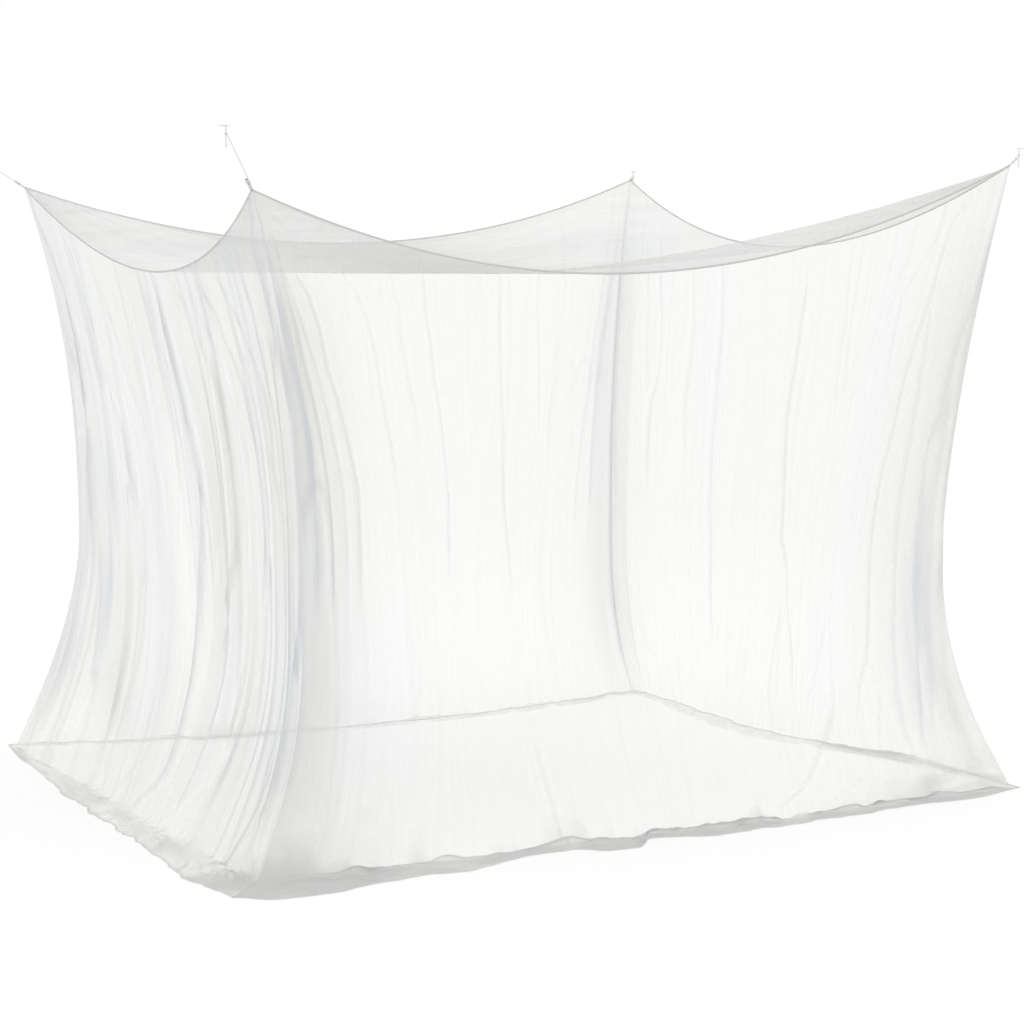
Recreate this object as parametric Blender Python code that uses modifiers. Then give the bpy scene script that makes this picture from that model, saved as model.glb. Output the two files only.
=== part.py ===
"""Box mosquito net canopy, hung by four cords from four ceiling hooks.

Metres, +Z up, floor at Z = 0. +X runs along the long front wall to its right end, +Y from the front wall
to the back wall. A taut sagging roof carries four hanging walls. Each wall is drawn in at mid height, sweeps
out to the floor and ends in a hem that lies flat on it.
"""

from collections import namedtuple
from math import atan2, ceil, cos, exp, hypot, pi, sin

import bmesh
import bpy
from mathutils import Matrix, Vector

# Driving dimensions
CEILING = 2.565          # the plane that the hooks are fixed to
CLOTH = 0.002            # thickness of a net panel
SEAM_GAP = 0.0020        # each wall stops this far short of a corner's line
WAIST_AT = 0.58          # the walls are drawn in over this share of their drop
LANDING = 0.14           # folds turn from sideways to upward below this height
LANDING_SOFT = 0.03      # rounding of the bend where a wall meets the floor
FLOOR_RIDGE = 0.55       # a fold's height on the floor, as a share of its depth above
RUCK = 0.016             # height of the ruck that runs along the lying hem
RUCK_EVEN = 0.6          # the share of that height that the ruck has everywhere
RUCK_LENGTH = 0.62       # distance from one rise of that ruck to the next
RUCK_FADE = 0.05         # the ruck dies out over this share of the width at each end
FOLDS_GROWN = 0.30       # folds have their whole depth from this share of the drop on
FLANK = 0.55             # a column lies on each side of a fold's crest, at this share of its half width
COLUMN_STEP = 0.16       # widest spacing of a wall's columns
COLUMN_LEAST = 0.040     # closest spacing of a wall's columns

ROOF_CENTRE = Vector((-0.02, 0.0, 2.075))
ROOF_RISE = 1.65         # how sharply the roof climbs towards its corners; 1 would be straight
ROOF_STEPS = 16          # divisions of the roof along one side
ROOF_INSET = 0.0034      # from a binding's middle to the roof's rim
ON_DIAGONAL = 1e-4       # how near a diagonal of the roof's plain grid counts as on it

BINDING_HEIGHT = 0.010
BINDING_THICK = 0.004
BINDING_SHORT = 0.0034   # a binding stops this far short of a corner
WALL_TOP_GAP = 0.0057    # from a binding's middle down to a wall's top edge

LOOP_WIDTH = 0.011
LOOP_TAPE = 0.0012
LOOP_EYE = 0.003         # inner radius of the loop's eye
LOOP_BACK = 0.0002       # the loop's tail starts this far inside the corner
LOOP_TAIL = 0.55         # the tail is flat over this share of its way to the eye
LOOP_NECK = 0.42         # half angle, in radians, of the eye's arc that the neck replaces
EYE_STEPS = 16           # steps of the outline round the eye
EYE_SIDES = 12

CORD_RADIUS = 0.0015
CORD_STEP = 0.0085
CORD_TURN_STEP = 0.0042
# The cord's turn through the loop's eye: points ahead of the eye's middle and beside it
Turn = namedtuple("Turn", "ahead beside")
EYE_TURN = (
    Turn(0.0065, -0.0082), Turn(0.0028, -0.0080), Turn(0.0006, -0.0060), Turn(0, 0),
    Turn(0.0006, 0.0060), Turn(0.0028, 0.0080), Turn(0.0065, 0.0078), Turn(0.0110, 0.0062),
)

TIE_DROP = 0.030         # the cord meets the hook this far below the ceiling
PLATE_LENGTH, PLATE_WIDTH, PLATE_THICK = 0.050, 0.022, 0.003
PLATE_BEHIND = 0.008     # how far the plate reaches inward from its leg
PLATE_CHAMFER = 0.0008
LEG_RADIUS = 0.0025
LEG_LENGTH = 0.066
TIP_RADIUS = 0.0045
ROUND_SIDES, TIP_RINGS = 12, 7
WRAP_RADIUS = LEG_RADIUS + CORD_RADIUS + 0.0004
WRAP_PITCH = 0.0038
WRAP_TURNS = 1.3

# Each corner: its top, then how far its line is displaced from there at the waist, where it lands and at the
# hem's tip, then how sharply it is drawn in, the height and the sharpness of its sweep to the floor, the
# hook's reach and the loop's length
CORNERS = {
    "back_left": dict(top=(-1.57, 1.29, 2.44), waist=(0.165, -0.165), foot=(-0.035, 0.165), hem=(-0.045, 0.232),
                      draw=2.2, flare=0.95, power=1.6, reach=0.155, loop=0.036),
    "front_left": dict(top=(-1.57, -1.25, 2.36), waist=(0.31, 0.31), foot=(-0.07, -0.15), hem=(-0.225, -0.33),
                       draw=2.0, flare=0.80, power=2.6, reach=0.215, loop=0.040),
    "front_right": dict(top=(1.61, -1.34, 2.50), waist=(-0.17, 0.17), foot=(0.083, 0.018), hem=(0.108, 0.004),
                        draw=1.4, flare=0.90, power=2.0, reach=0.032, loop=0.022),
    "back_right": dict(top=(1.44, 1.31, 2.52), waist=(-0.24, -0.24), foot=(0.10, 0.12), hem=(0.16, 0.20),
                       draw=2.0, flare=0.85, power=2.0, reach=0.045, loop=0.020),
}

# A wall's bulges: at a share of its width, how far the waist, the foot and the hem's edge lie outward
Bulge = namedtuple("Bulge", "at waist foot hem")
# A wall's folds: where each starts on the top edge, passes the waist and lands, as shares of the wall's
# width, then its half width and its depth, positive outward
Fold = namedtuple("Fold", "top waist foot width depth")

WALLS = {
    "left": dict(
        ends=("back_left", "front_left"), sag=0.317, bow=0.10,
        bulges=(
            Bulge(0.00, 0.00, 0.00, 0.00),
            Bulge(0.17, 0.00, 0.00, 0.03),
            Bulge(0.35, 0.00, -0.02, 0.052),
            Bulge(0.58, -0.02, 0.00, 0.053),
            Bulge(0.74, 0.00, 0.00, 0.039),
            Bulge(0.82, 0.00, 0.00, 0.060),
            Bulge(0.93, 0.00, 0.00, 0.042),
            Bulge(1.00, 0.00, 0.00, 0.00),
        ),
        folds=(
            Fold(0.030, 0.040, 0.06, 0.040, 0.025),
            Fold(0.08, 0.12, 0.22, 0.075, 0.035),
            Fold(0.14, 0.20, 0.31, 0.065, -0.028),
            Fold(0.20, 0.30, 0.40, 0.075, 0.048),
            Fold(0.34, 0.42, 0.50, 0.090, 0.032),
            Fold(0.48, 0.565, 0.61, 0.080, 0.050),
            Fold(0.66, 0.735, 0.69, 0.085, 0.050),
            Fold(0.76, 0.845, 0.81, 0.075, 0.038),
            Fold(0.88, 0.92, 0.91, 0.070, -0.030),
            Fold(0.955, 0.965, 0.965, 0.045, 0.030),
        ),
    ),
    "front": dict(
        ends=("front_left", "front_right"), sag=0.352, bow=0.10,
        bulges=(
            Bulge(0.00, 0.00, 0.00, 0.00),
            Bulge(0.03, 0.00, 0.01, 0.085),
            Bulge(0.09, 0.00, 0.03, 0.110),
            Bulge(0.15, 0.00, 0.02, 0.085),
            Bulge(0.21, 0.00, 0.01, 0.050),
            Bulge(0.26, 0.00, 0.03, 0.080),
            Bulge(0.32, 0.00, 0.00, 0.005),
            Bulge(0.385, 0.00, -0.01, -0.015),
            Bulge(0.415, 0.00, 0.02, 0.075),
            Bulge(0.45, 0.00, 0.02, 0.085),
            Bulge(0.485, 0.00, 0.01, -0.010),
            Bulge(0.54, 0.00, 0.03, 0.060),
            Bulge(0.70, 0.00, 0.03, 0.065),
            Bulge(0.86, 0.00, 0.02, 0.040),
            Bulge(0.94, 0.00, 0.01, 0.055),
            Bulge(1.00, 0.00, 0.00, 0.00),
        ),
        folds=(
            Fold(0.025, 0.035, 0.05, 0.050, 0.032),
            Fold(0.07, 0.085, 0.11, 0.060, 0.035),
            Fold(0.12, 0.14, 0.17, 0.060, -0.028),
            Fold(0.17, 0.185, 0.22, 0.070, 0.038),
            Fold(0.31, 0.30, 0.38, 0.090, 0.042),
            Fold(0.45, 0.45, 0.48, 0.100, 0.030),
            Fold(0.59, 0.60, 0.59, 0.100, -0.025),
            Fold(0.73, 0.73, 0.68, 0.090, 0.045),
            Fold(0.82, 0.81, 0.75, 0.075, 0.035),
            Fold(0.91, 0.875, 0.82, 0.080, -0.030),
            Fold(0.955, 0.925, 0.88, 0.055, 0.035),
            Fold(0.985, 0.96, 0.94, 0.040, -0.022),
        ),
    ),
    "right": dict(
        ends=("front_right", "back_right"), sag=0.32, bow=0.08,
        bulges=(
            Bulge(0.00, 0.00, 0.00, 0.00),
            Bulge(0.25, 0.00, -0.04, 0.02),
            Bulge(0.40, 0.00, -0.14, -0.06),
            Bulge(0.58, 0.00, -0.22, -0.12),
            Bulge(0.80, 0.00, -0.12, -0.05),
            Bulge(1.00, 0.00, 0.00, 0.00),
        ),
        folds=(
            Fold(0.025, 0.06, 0.08, 0.050, 0.032),
            Fold(0.10, 0.15, 0.19, 0.080, 0.035),
            Fold(0.21, 0.24, 0.31, 0.080, -0.028),
            Fold(0.32, 0.33, 0.43, 0.080, 0.040),
            Fold(0.44, 0.44, 0.51, 0.080, -0.022),
            Fold(0.55, 0.53, 0.59, 0.080, 0.038),
            Fold(0.66, 0.67, 0.69, 0.080, 0.030),
            Fold(0.76, 0.765, 0.78, 0.075, -0.028),
            Fold(0.86, 0.885, 0.89, 0.075, 0.040),
            Fold(0.955, 0.96, 0.965, 0.045, 0.028),
        ),
    ),
    "back": dict(
        ends=("back_right", "back_left"), sag=0.27, bow=0.10,
        bulges=(
            Bulge(0.00, 0.00, 0.00, 0.00),
            Bulge(0.12, 0.00, -0.14, -0.10),
            Bulge(0.35, 0.00, -0.26, -0.24),
            Bulge(0.65, 0.00, -0.27, -0.26),
            Bulge(0.88, 0.00, -0.13, -0.12),
            Bulge(1.00, 0.00, 0.00, 0.00),
        ),
        folds=(
            Fold(0.025, 0.030, 0.05, 0.045, 0.035),
            Fold(0.065, 0.085, 0.12, 0.060, -0.032),
            Fold(0.12, 0.135, 0.18, 0.060, 0.032),
            Fold(0.20, 0.20, 0.25, 0.075, 0.030),
            Fold(0.32, 0.30, 0.33, 0.090, -0.025),
            Fold(0.43, 0.39, 0.41, 0.085, 0.040),
            Fold(0.56, 0.54, 0.54, 0.095, 0.030),
            Fold(0.69, 0.68, 0.67, 0.090, -0.028),
            Fold(0.80, 0.80, 0.79, 0.085, 0.038),
            Fold(0.90, 0.90, 0.91, 0.075, 0.030),
            Fold(0.965, 0.965, 0.965, 0.040, -0.022),
        ),
    ),
}

# Rows of a wall: shares of its drop, then 1 to 2 from where it lands to the hem's edge
HANG_ROWS = (0.0, 0.035, 0.09, 0.17, 0.27, 0.38, 0.50, 0.62, 0.72, 0.81, 0.88, 0.93, 0.965, 0.985)
LIE_ROWS = (1.0, 1.25, 1.5, 1.75, 2.0)

COLOURS = {
    "net": (0.93, 0.94, 0.95), "binding": (0.80, 0.81, 0.82), "tape": (0.78, 0.79, 0.80),
    "cord": (0.86, 0.87, 0.88), "hook": (0.72, 0.73, 0.74),
}


def smooth_step(low, high, value):
    """0 below low, 1 above high, and an even S between."""
    t = min(max((value - low) / (high - low), 0.0), 1.0)
    return t * t * (3 - 2 * t)


def between(rows, column, at):
    """A table's column at a place between its rows, along a smooth curve through them."""
    last = len(rows) - 1
    i = 0
    while i < last - 1 and at > rows[i + 1].at:
        i += 1
    low, high = rows[i], rows[i + 1]
    span = high.at - low.at

    def slope(k):
        if k in (0, last):
            return 0.0
        rise = getattr(rows[k + 1], column) - getattr(rows[k - 1], column)
        return rise / (rows[k + 1].at - rows[k - 1].at)

    t = (at - low.at) / span
    start, end = getattr(low, column), getattr(high, column)
    ends = (2 * t**3 - 3 * t**2 + 1) * start + (3 * t**2 - 2 * t**3) * end
    slopes = (t**3 - 2 * t**2 + t) * slope(i) + (t**3 - t**2) * slope(i + 1)
    return ends + span * slopes


def chord(wall):
    """The corners at a wall's two ends, its length, and its directions along and outward."""
    first, last = (CORNERS[name] for name in wall["ends"])
    dx = last["top"][0] - first["top"][0]
    dy = last["top"][1] - first["top"][1]
    length = hypot(dx, dy)
    return first, last, length, Vector((dx, dy, 0)) / length, Vector((dy, -dx, 0)) / length


def edge_point(wall, share):
    """A point on the sagging seam between the roof and a wall."""
    first, last, _, _, outward = chord(wall)
    hump = 4 * share * (1 - share)
    point = Vector(first["top"]).lerp(Vector(last["top"]), share)
    return point - outward * wall["bow"] * hump - Vector((0, 0, wall["sag"] * hump))


def plan(first, last, key, share):
    """A displacement in plan, between those of two corners."""
    return Vector((*first[key], 0)).lerp(Vector((*last[key], 0)), share)


def hang_point(wall, share, down):
    """A point of the smooth wall, before its folds: down is 0 to 1 hanging and 1 to 2 lying."""
    first, last, _, _, outward = chord(wall)
    top = edge_point(wall, share) - Vector((0, 0, WALL_TOP_GAP))
    straight = Vector(first["top"]).lerp(Vector(last["top"]), share)
    straight.z = 0
    waist = plan(first, last, "waist", share) + outward * between(wall["bulges"], "waist", share)
    foot = plan(first, last, "foot", share) + outward * between(wall["bulges"], "foot", share)
    hem = plan(first, last, "hem", share) + outward * between(wall["bulges"], "hem", share)
    hung = min(down, 1.0)
    height = (top.z - CLOTH / 2) * (1 - hung)
    draw, flare, power = (first[key] + (last[key] - first[key]) * share for key in ("draw", "flare", "power"))
    drawn = 1 - (1 - min(hung / WAIST_AT, 1.0)) ** draw
    swept = max(0.0, 1 - height / flare) ** power
    top_offset = Vector((top.x, top.y, 0)) - straight
    point = straight + top_offset * (1 - drawn) + waist * drawn + (foot - waist) * swept
    if down > 1:
        point += (hem - foot) * (down - 1)
    point.z = CLOTH / 2 + height * (1 - exp(-height / LANDING_SOFT))
    return point


def fold_path(fold, hung):
    """Where a fold runs at a share of the drop, as a share of the wall's width."""
    ends = fold.top * (1 - hung) * (1 - 2 * hung) + fold.foot * hung * (2 * hung - 1)
    return ends + fold.waist * 4 * hung * (1 - hung)


def follow_folds(wall, column, hung):
    """Where a column of the cloth, named by its place on the top edge, is at a share of the drop."""
    ends = (Fold(0, 0, 0, 0, 0), *wall["folds"], Fold(1, 1, 1, 0, 0))
    i = 0
    while i < len(ends) - 2 and column > ends[i + 1].top:
        i += 1
    low, high = ends[i], ends[i + 1]
    t = (column - low.top) / (high.top - low.top)
    start, end = fold_path(low, hung), fold_path(high, hung)
    return start + (end - start) * t


def fold_depth(wall, column):
    """How far the folds push a column of the cloth outward."""
    length = chord(wall)[2]
    depth = 0.0
    for fold in wall["folds"]:
        off = abs(column - fold.top) * length / fold.width
        if off < 1:
            depth += fold.depth * cos(off * pi / 2) ** 2
    return depth


def wall_point(wall, column, down):
    """A point on a wall's middle surface with its folds."""
    _, _, length, _, outward = chord(wall)
    hung = min(down, 1.0)
    lying = max(down - 1, 0.0)
    inset = SEAM_GAP / length
    share = inset + (1 - 2 * inset) * follow_folds(wall, column, hung)
    point = hang_point(wall, share, down)
    depth = fold_depth(wall, column) * smooth_step(0.0, FOLDS_GROWN, hung)
    landed = 1 - smooth_step(0.0, LANDING, point.z - CLOTH / 2)
    point += outward * depth * (1 - landed)
    point.z += max(depth, 0.0) * landed * FLOOR_RIDGE * (1 - lying)
    wave = RUCK_EVEN + (1 - RUCK_EVEN) * cos(share * length / RUCK_LENGTH * 2 * pi)
    ends = smooth_step(0.0, RUCK_FADE, share) * smooth_step(0.0, RUCK_FADE, 1 - share)
    point.z += RUCK * wave * ends * sin(pi * lying) ** 2
    return point


def wall_columns(wall):
    """Where a wall's columns start on its top edge: at its folds' crests and flanks, and evenly between."""
    length = chord(wall)[2]
    wanted = {0.0, 1.0}
    for fold in wall["folds"]:
        flank = fold.width / length * FLANK
        wanted.update((fold.top - flank, fold.top, fold.top + flank))
    kept = [0.0]
    crests = [fold.top for fold in wall["folds"]]
    for place in sorted(wanted):
        close = (place - kept[-1]) * length < COLUMN_LEAST
        if not close and 0 < place < 1:
            kept.append(place)
        elif close and place in crests and kept[-1] not in crests and kept[-1] > 0:
            kept[-1] = place
    if (1 - kept[-1]) * length < COLUMN_LEAST:
        kept.pop()
    kept.append(1.0)
    columns = [0.0]
    for low, high in zip(kept, kept[1:]):
        parts = ceil((high - low) * length / COLUMN_STEP)
        columns += [low + (high - low) * (k + 1) / parts for k in range(parts)]
    return columns


def material(name):
    """A plain material of one of the canopy's colours."""
    made = bpy.data.materials.get(name) or bpy.data.materials.new(name)
    made.use_nodes = True
    shader = made.node_tree.nodes["Principled BSDF"]
    shader.inputs["Base Color"].default_value = (*COLOURS[name], 1)
    shader.inputs["Roughness"].default_value = 0.45 if name == "hook" else 0.9
    return made


def keep(obj, name, colour, parts):
    """Names an object, gives it its material and puts it with the canopy's parts."""
    obj.name = name
    obj.data.name = name
    obj.data.materials.clear()
    obj.data.materials.append(material(colour))
    for collection in tuple(obj.users_collection):
        collection.objects.unlink(obj)
    parts.objects.link(obj)
    return obj


def mapped_grid(name, across, down, place, thickness, ridged=False):
    """A grid primitive laid onto a surface, and made solid about it. A ridged one is split along its diagonals."""
    shell = bmesh.new()
    bmesh.ops.create_grid(shell, x_segments=across, y_segments=down, size=0.5)
    for face in tuple(shell.faces) if ridged else ():
        ridge = [vert for vert in face.verts if abs(abs(vert.co.x) - abs(vert.co.y)) < ON_DIAGONAL]
        if len(ridge) == 2:
            bmesh.utils.face_split(face, *ridge)
    for vert in shell.verts:
        column = round((vert.co.x + 0.5) * across)
        row = round((vert.co.y + 0.5) * down)
        vert.co = place(column, row)
    mesh = bpy.data.meshes.new(name)
    shell.to_mesh(mesh)
    shell.free()
    mesh.shade_smooth()
    obj = bpy.data.objects.new(name, mesh)
    bpy.context.scene.collection.objects.link(obj)
    solid = obj.modifiers.new("thickness", "SOLIDIFY")
    solid.thickness = thickness
    solid.offset = 0
    return obj


def build_wall(name, parts):
    """One hanging panel, with its hem on the floor."""
    wall = WALLS[name]
    columns = wall_columns(wall)
    rows = HANG_ROWS + LIE_ROWS

    def place(column, row):
        return wall_point(wall, columns[column], rows[row])

    obj = mapped_grid("wall_" + name, len(columns) - 1, len(rows) - 1, place, CLOTH)
    return keep(obj, "wall_" + name, "net", parts)


def build_binding(name, parts):
    """The tape over the seam along one top edge."""
    wall = WALLS[name]
    columns = wall_columns(wall)
    inset = BINDING_SHORT / chord(wall)[2]

    def place(column, row):
        share = inset + (1 - 2 * inset) * columns[column]
        return edge_point(wall, share) + Vector((0, 0, (row - 0.5) * BINDING_HEIGHT))

    obj = mapped_grid("binding_" + name, len(columns) - 1, 1, place, BINDING_THICK)
    return keep(obj, "binding_" + name, "binding", parts)


def roof_rim(x, y):
    """The roof's rim in the direction of a point on the edge of a square from -1 to 1."""
    if abs(y) >= abs(x):
        name, share = ("front", (1 + x) / 2) if y < 0 else ("back", (1 - x) / 2)
    else:
        name, share = ("left", (1 - y) / 2) if x < 0 else ("right", (1 + y) / 2)
    wall = WALLS[name]
    _, _, _, direction, outward = chord(wall)
    return edge_point(wall, share) + ROOF_INSET * (direction * (1 - 2 * share) - outward)


def build_roof(parts):
    """The top panel: it climbs from its middle to its sagging rim, in a soft ridge to each corner."""

    def place(column, row):
        x = 2 * column / ROOF_STEPS - 1
        y = 2 * row / ROOF_STEPS - 1
        ring = max(abs(x), abs(y))
        if ring == 0:
            return ROOF_CENTRE.copy()
        rim = roof_rim(x / ring, y / ring)
        point = ROOF_CENTRE.lerp(rim, ring)
        point.z = ROOF_CENTRE.z + (rim.z - ROOF_CENTRE.z) * ring**ROOF_RISE
        return point

    obj = mapped_grid("roof", ROOF_STEPS, ROOF_STEPS, place, CLOTH, ridged=True)
    return keep(obj, "roof", "net", parts)


def corner_axes(corner):
    """Horizontal directions outward and sideways at a corner, and the way its loop and cord are pulled."""
    top = Vector(corner["top"])
    out = Vector((1 if top.x > 0 else -1, 1 if top.y > 0 else -1, 0)).normalized()
    side = Vector((-out.y, out.x, 0))
    angle = atan2(CEILING - TIE_DROP - top.z, corner["reach"])
    return top, out, side, out * cos(angle) + Vector((0, 0, sin(angle)))


def build_loop(name, parts):
    """A doubled tape loop: a flat tail with a round eye, drawn as an outline and extruded to its width."""
    corner = CORNERS[name]
    top, _, side, pull = corner_axes(corner)
    outer = LOOP_EYE + LOOP_TAPE
    eye = corner["loop"] - outer
    join = pi - LOOP_NECK
    arc = [join * (1 - 2 * k / EYE_STEPS) for k in range(EYE_STEPS + 1)]
    around = [2 * pi * k / EYE_SIDES for k in range(EYE_SIDES)]
    outline = [(0, LOOP_TAPE), (eye * LOOP_TAIL, LOOP_TAPE)]
    outline += [(eye + outer * cos(a), outer * sin(a)) for a in arc]
    outline += [(eye * LOOP_TAIL, -LOOP_TAPE), (0, -LOOP_TAPE)]
    hole = [(eye + LOOP_EYE * cos(a), LOOP_EYE * sin(a)) for a in around]
    curve = bpy.data.curves.new("loop", "CURVE")
    curve.dimensions = "2D"
    curve.fill_mode = "BOTH"
    curve.extrude = LOOP_WIDTH / 2
    for points in (outline, hole):
        spline = curve.splines.new("POLY")
        spline.points.add(len(points) - 1)
        for point, (x, y) in zip(spline.points, points):
            point.co = (x, y, 0, 1)
        spline.use_cyclic_u = True
    obj = bpy.data.objects.new("loop_" + name, curve)
    bpy.context.scene.collection.objects.link(obj)
    over = side.cross(pull)
    turn = Matrix((pull, over, pull.cross(over))).transposed().to_4x4()
    obj.matrix_world = Matrix.Translation(top - pull * LOOP_BACK) @ turn
    return keep(obj, "loop_" + name, "tape", parts)


def smooth_route(route, step):
    """Points at about an even step along a smooth curve through a route's own points."""
    padded = [2 * route[0] - route[1], *route, 2 * route[-1] - route[-2]]
    points = [route[0]]
    for before, start, end, after in zip(padded, padded[1:], padded[2:], padded[3:]):
        parts = max(1, round((end - start).length / step))
        for k in range(1, parts + 1):
            t = k / parts
            bend = (end - before) * t + (2 * before - 5 * start + 4 * end - after) * t**2
            bend += (3 * start - before - 3 * end + after) * t**3
            points.append(start + bend / 2)
    return points


def cord_route(corner):
    """A cord's path: through the loop's eye, straight to the hook's leg, and round it."""
    top, out, side, pull = corner_axes(corner)
    eye = top + pull * (corner["loop"] - LOOP_EYE - LOOP_TAPE - LOOP_BACK)
    tie = top + out * corner["reach"]
    tie.z = CEILING - TIE_DROP
    route = smooth_route([eye + pull * turn.ahead + side * turn.beside for turn in EYE_TURN], CORD_TURN_STEP)
    start = tie + side * WRAP_RADIUS
    steps = max(1, round((start - route[-1]).length / CORD_STEP))
    route += [route[-1].lerp(start, (k + 1) / steps) for k in range(steps)]
    corners = ceil(WRAP_TURNS * 2 * pi * WRAP_RADIUS / CORD_TURN_STEP)
    for k in range(1, corners + 1):
        turned = WRAP_TURNS * k / corners
        around = side * cos(2 * pi * turned) + out * sin(2 * pi * turned)
        route.append(tie + around * WRAP_RADIUS + Vector((0, 0, WRAP_PITCH * turned)))
    return route


def build_cord(name, parts):
    """The thin cord from a corner's loop to its hook."""
    route = cord_route(CORNERS[name])
    curve = bpy.data.curves.new("cord", "CURVE")
    curve.dimensions = "3D"
    curve.bevel_depth = CORD_RADIUS
    curve.bevel_resolution = 2
    curve.use_fill_caps = True
    spline = curve.splines.new("POLY")
    spline.points.add(len(route) - 1)
    for point, place in zip(spline.points, route):
        point.co = (*place, 1)
    obj = bpy.data.objects.new("cord_" + name, curve)
    bpy.context.scene.collection.objects.link(obj)
    return keep(obj, "cord_" + name, "cord", parts)


def build_hook(name, parts, cutters):
    """A ceiling hook: a flat plate with a thin leg under it that ends in a ball."""
    corner = CORNERS[name]
    top, out, _, _ = corner_axes(corner)
    foot = Vector((top.x, top.y, 0)) + out * corner["reach"]
    heading = atan2(out.y, out.x)

    middle = foot + out * (PLATE_LENGTH / 2 - PLATE_BEHIND)
    middle.z = CEILING - PLATE_THICK / 2
    bpy.ops.mesh.primitive_cube_add(size=1, location=middle, rotation=(0, 0, heading))
    plate = bpy.context.object
    plate.data.transform(Matrix.Diagonal((PLATE_LENGTH, PLATE_WIDTH, PLATE_THICK, 1)))
    edges = plate.modifiers.new("rounded corners", "BEVEL")
    edges.width = PLATE_CHAMFER
    edges.segments = 1

    leg_middle = CEILING - PLATE_THICK / 2 - LEG_LENGTH / 2
    bpy.ops.mesh.primitive_cylinder_add(
        vertices=ROUND_SIDES, radius=LEG_RADIUS, depth=LEG_LENGTH, location=(foot.x, foot.y, leg_middle)
    )
    leg = bpy.context.object
    tip_height = CEILING - PLATE_THICK / 2 - LEG_LENGTH
    bpy.ops.mesh.primitive_uv_sphere_add(
        segments=ROUND_SIDES, ring_count=TIP_RINGS, radius=TIP_RADIUS, location=(foot.x, foot.y, tip_height)
    )
    tip = bpy.context.object
    for index, piece in enumerate((leg, tip)):
        piece.name = f"{name}_hook_piece_{index}"
        piece.hide_render = True
        piece.display_type = "WIRE"
        for collection in tuple(piece.users_collection):
            collection.objects.unlink(piece)
        cutters.objects.link(piece)
        join = plate.modifiers.new("joined " + piece.name, "BOOLEAN")
        join.operation = "UNION"
        join.object = piece
    return keep(plate, "hook_" + name, "hook", parts)


def corners_of(obj):
    """The world box corners of an object as it is evaluated."""
    seen = obj.evaluated_get(bpy.context.evaluated_depsgraph_get())
    return [obj.matrix_world @ Vector(corner) for corner in seen.bound_box]


def main():
    for obj in tuple(bpy.data.objects):
        bpy.data.objects.remove(obj, do_unlink=True)
    parts = bpy.data.collections.new("mosquito net canopy")
    cutters = bpy.data.collections.new("joined pieces")
    for collection in (parts, cutters):
        bpy.context.scene.collection.children.link(collection)

    outer = [build_roof(parts)]
    for name in WALLS:
        outer += [build_wall(name, parts), build_binding(name, parts)]
    for name in CORNERS:
        outer.append(build_hook(name, parts, cutters))
    ties = [build(name, parts) for name in CORNERS for build in (build_loop, build_cord)]

    # The canopy stands with the middle of its box over the origin; loops and cords lie inside that box
    bpy.context.view_layer.update()
    reach = [corner for obj in outer for corner in corners_of(obj)]
    middle = bpy.data.objects.new("canopy_middle", None)
    bpy.context.scene.collection.objects.link(middle)
    middle.location.x = -(min(p.x for p in reach) + max(p.x for p in reach)) / 2
    middle.location.y = -(min(p.y for p in reach) + max(p.y for p in reach)) / 2
    for obj in (*outer, *ties, *cutters.objects):
        obj.parent = middle


main()
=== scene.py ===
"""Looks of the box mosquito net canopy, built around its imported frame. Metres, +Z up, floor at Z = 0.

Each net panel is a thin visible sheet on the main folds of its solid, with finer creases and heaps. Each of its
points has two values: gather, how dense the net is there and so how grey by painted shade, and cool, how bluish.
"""

from collections import namedtuple
from math import atan2, ceil, cos, hypot, pi, radians, sin

import bpy
import numpy as np
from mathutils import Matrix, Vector


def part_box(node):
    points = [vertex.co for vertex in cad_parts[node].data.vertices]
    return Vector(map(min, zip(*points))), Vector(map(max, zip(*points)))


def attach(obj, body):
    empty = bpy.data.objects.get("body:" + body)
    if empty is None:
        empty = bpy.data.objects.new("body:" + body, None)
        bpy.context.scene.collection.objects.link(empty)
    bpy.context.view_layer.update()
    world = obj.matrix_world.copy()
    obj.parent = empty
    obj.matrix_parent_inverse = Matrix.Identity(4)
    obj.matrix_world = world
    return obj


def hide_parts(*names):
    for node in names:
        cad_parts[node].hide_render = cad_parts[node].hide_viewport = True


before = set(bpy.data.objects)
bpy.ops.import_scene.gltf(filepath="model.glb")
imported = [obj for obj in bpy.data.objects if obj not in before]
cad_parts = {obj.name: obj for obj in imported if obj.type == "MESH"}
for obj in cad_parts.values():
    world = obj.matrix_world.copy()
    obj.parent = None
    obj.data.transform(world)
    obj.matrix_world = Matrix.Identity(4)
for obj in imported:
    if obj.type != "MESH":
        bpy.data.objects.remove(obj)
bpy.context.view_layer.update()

# Construction values, as in the part's source
CEILING = 2.565
WAIST_AT = 0.58          # the walls are drawn in over this share of their drop
LANDING = 0.14           # folds turn from sideways to upward below this height
LANDING_SOFT = 0.03
FLOOR_RIDGE = 0.55       # a fold's height on the floor, as a share of its depth above
RUCK = 0.016             # height of the ruck along the lying hem
RUCK_LENGTH = 0.62
FOLDS_GROWN = 0.30       # folds have their whole depth from this share of the drop on
ROOF_CENTRE = np.array((-0.02, 0.0, 2.075))
ROOF_RISE = 1.65
BINDING_SHORT = 0.0034
LOOP_WIDTH = 0.011
LOOP_TAPE = 0.0012
LOOP_EYE = 0.003
LOOP_BACK = 0.0002
LOOP_TAIL = 0.55         # the tail is flat over this share of its way to the eye
LOOP_NECK = 0.42         # half angle of the eye's arc that the neck replaces
CORD_RADIUS = 0.0015
CORD_STEP = 0.0085
CORD_TURN_STEP = 0.0042
TIE_DROP = 0.030         # the cord meets the hook this far below the ceiling
PLATE_LENGTH = 0.050
PLATE_BEHIND = 0.008     # how far the plate reaches inward from its leg
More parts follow.
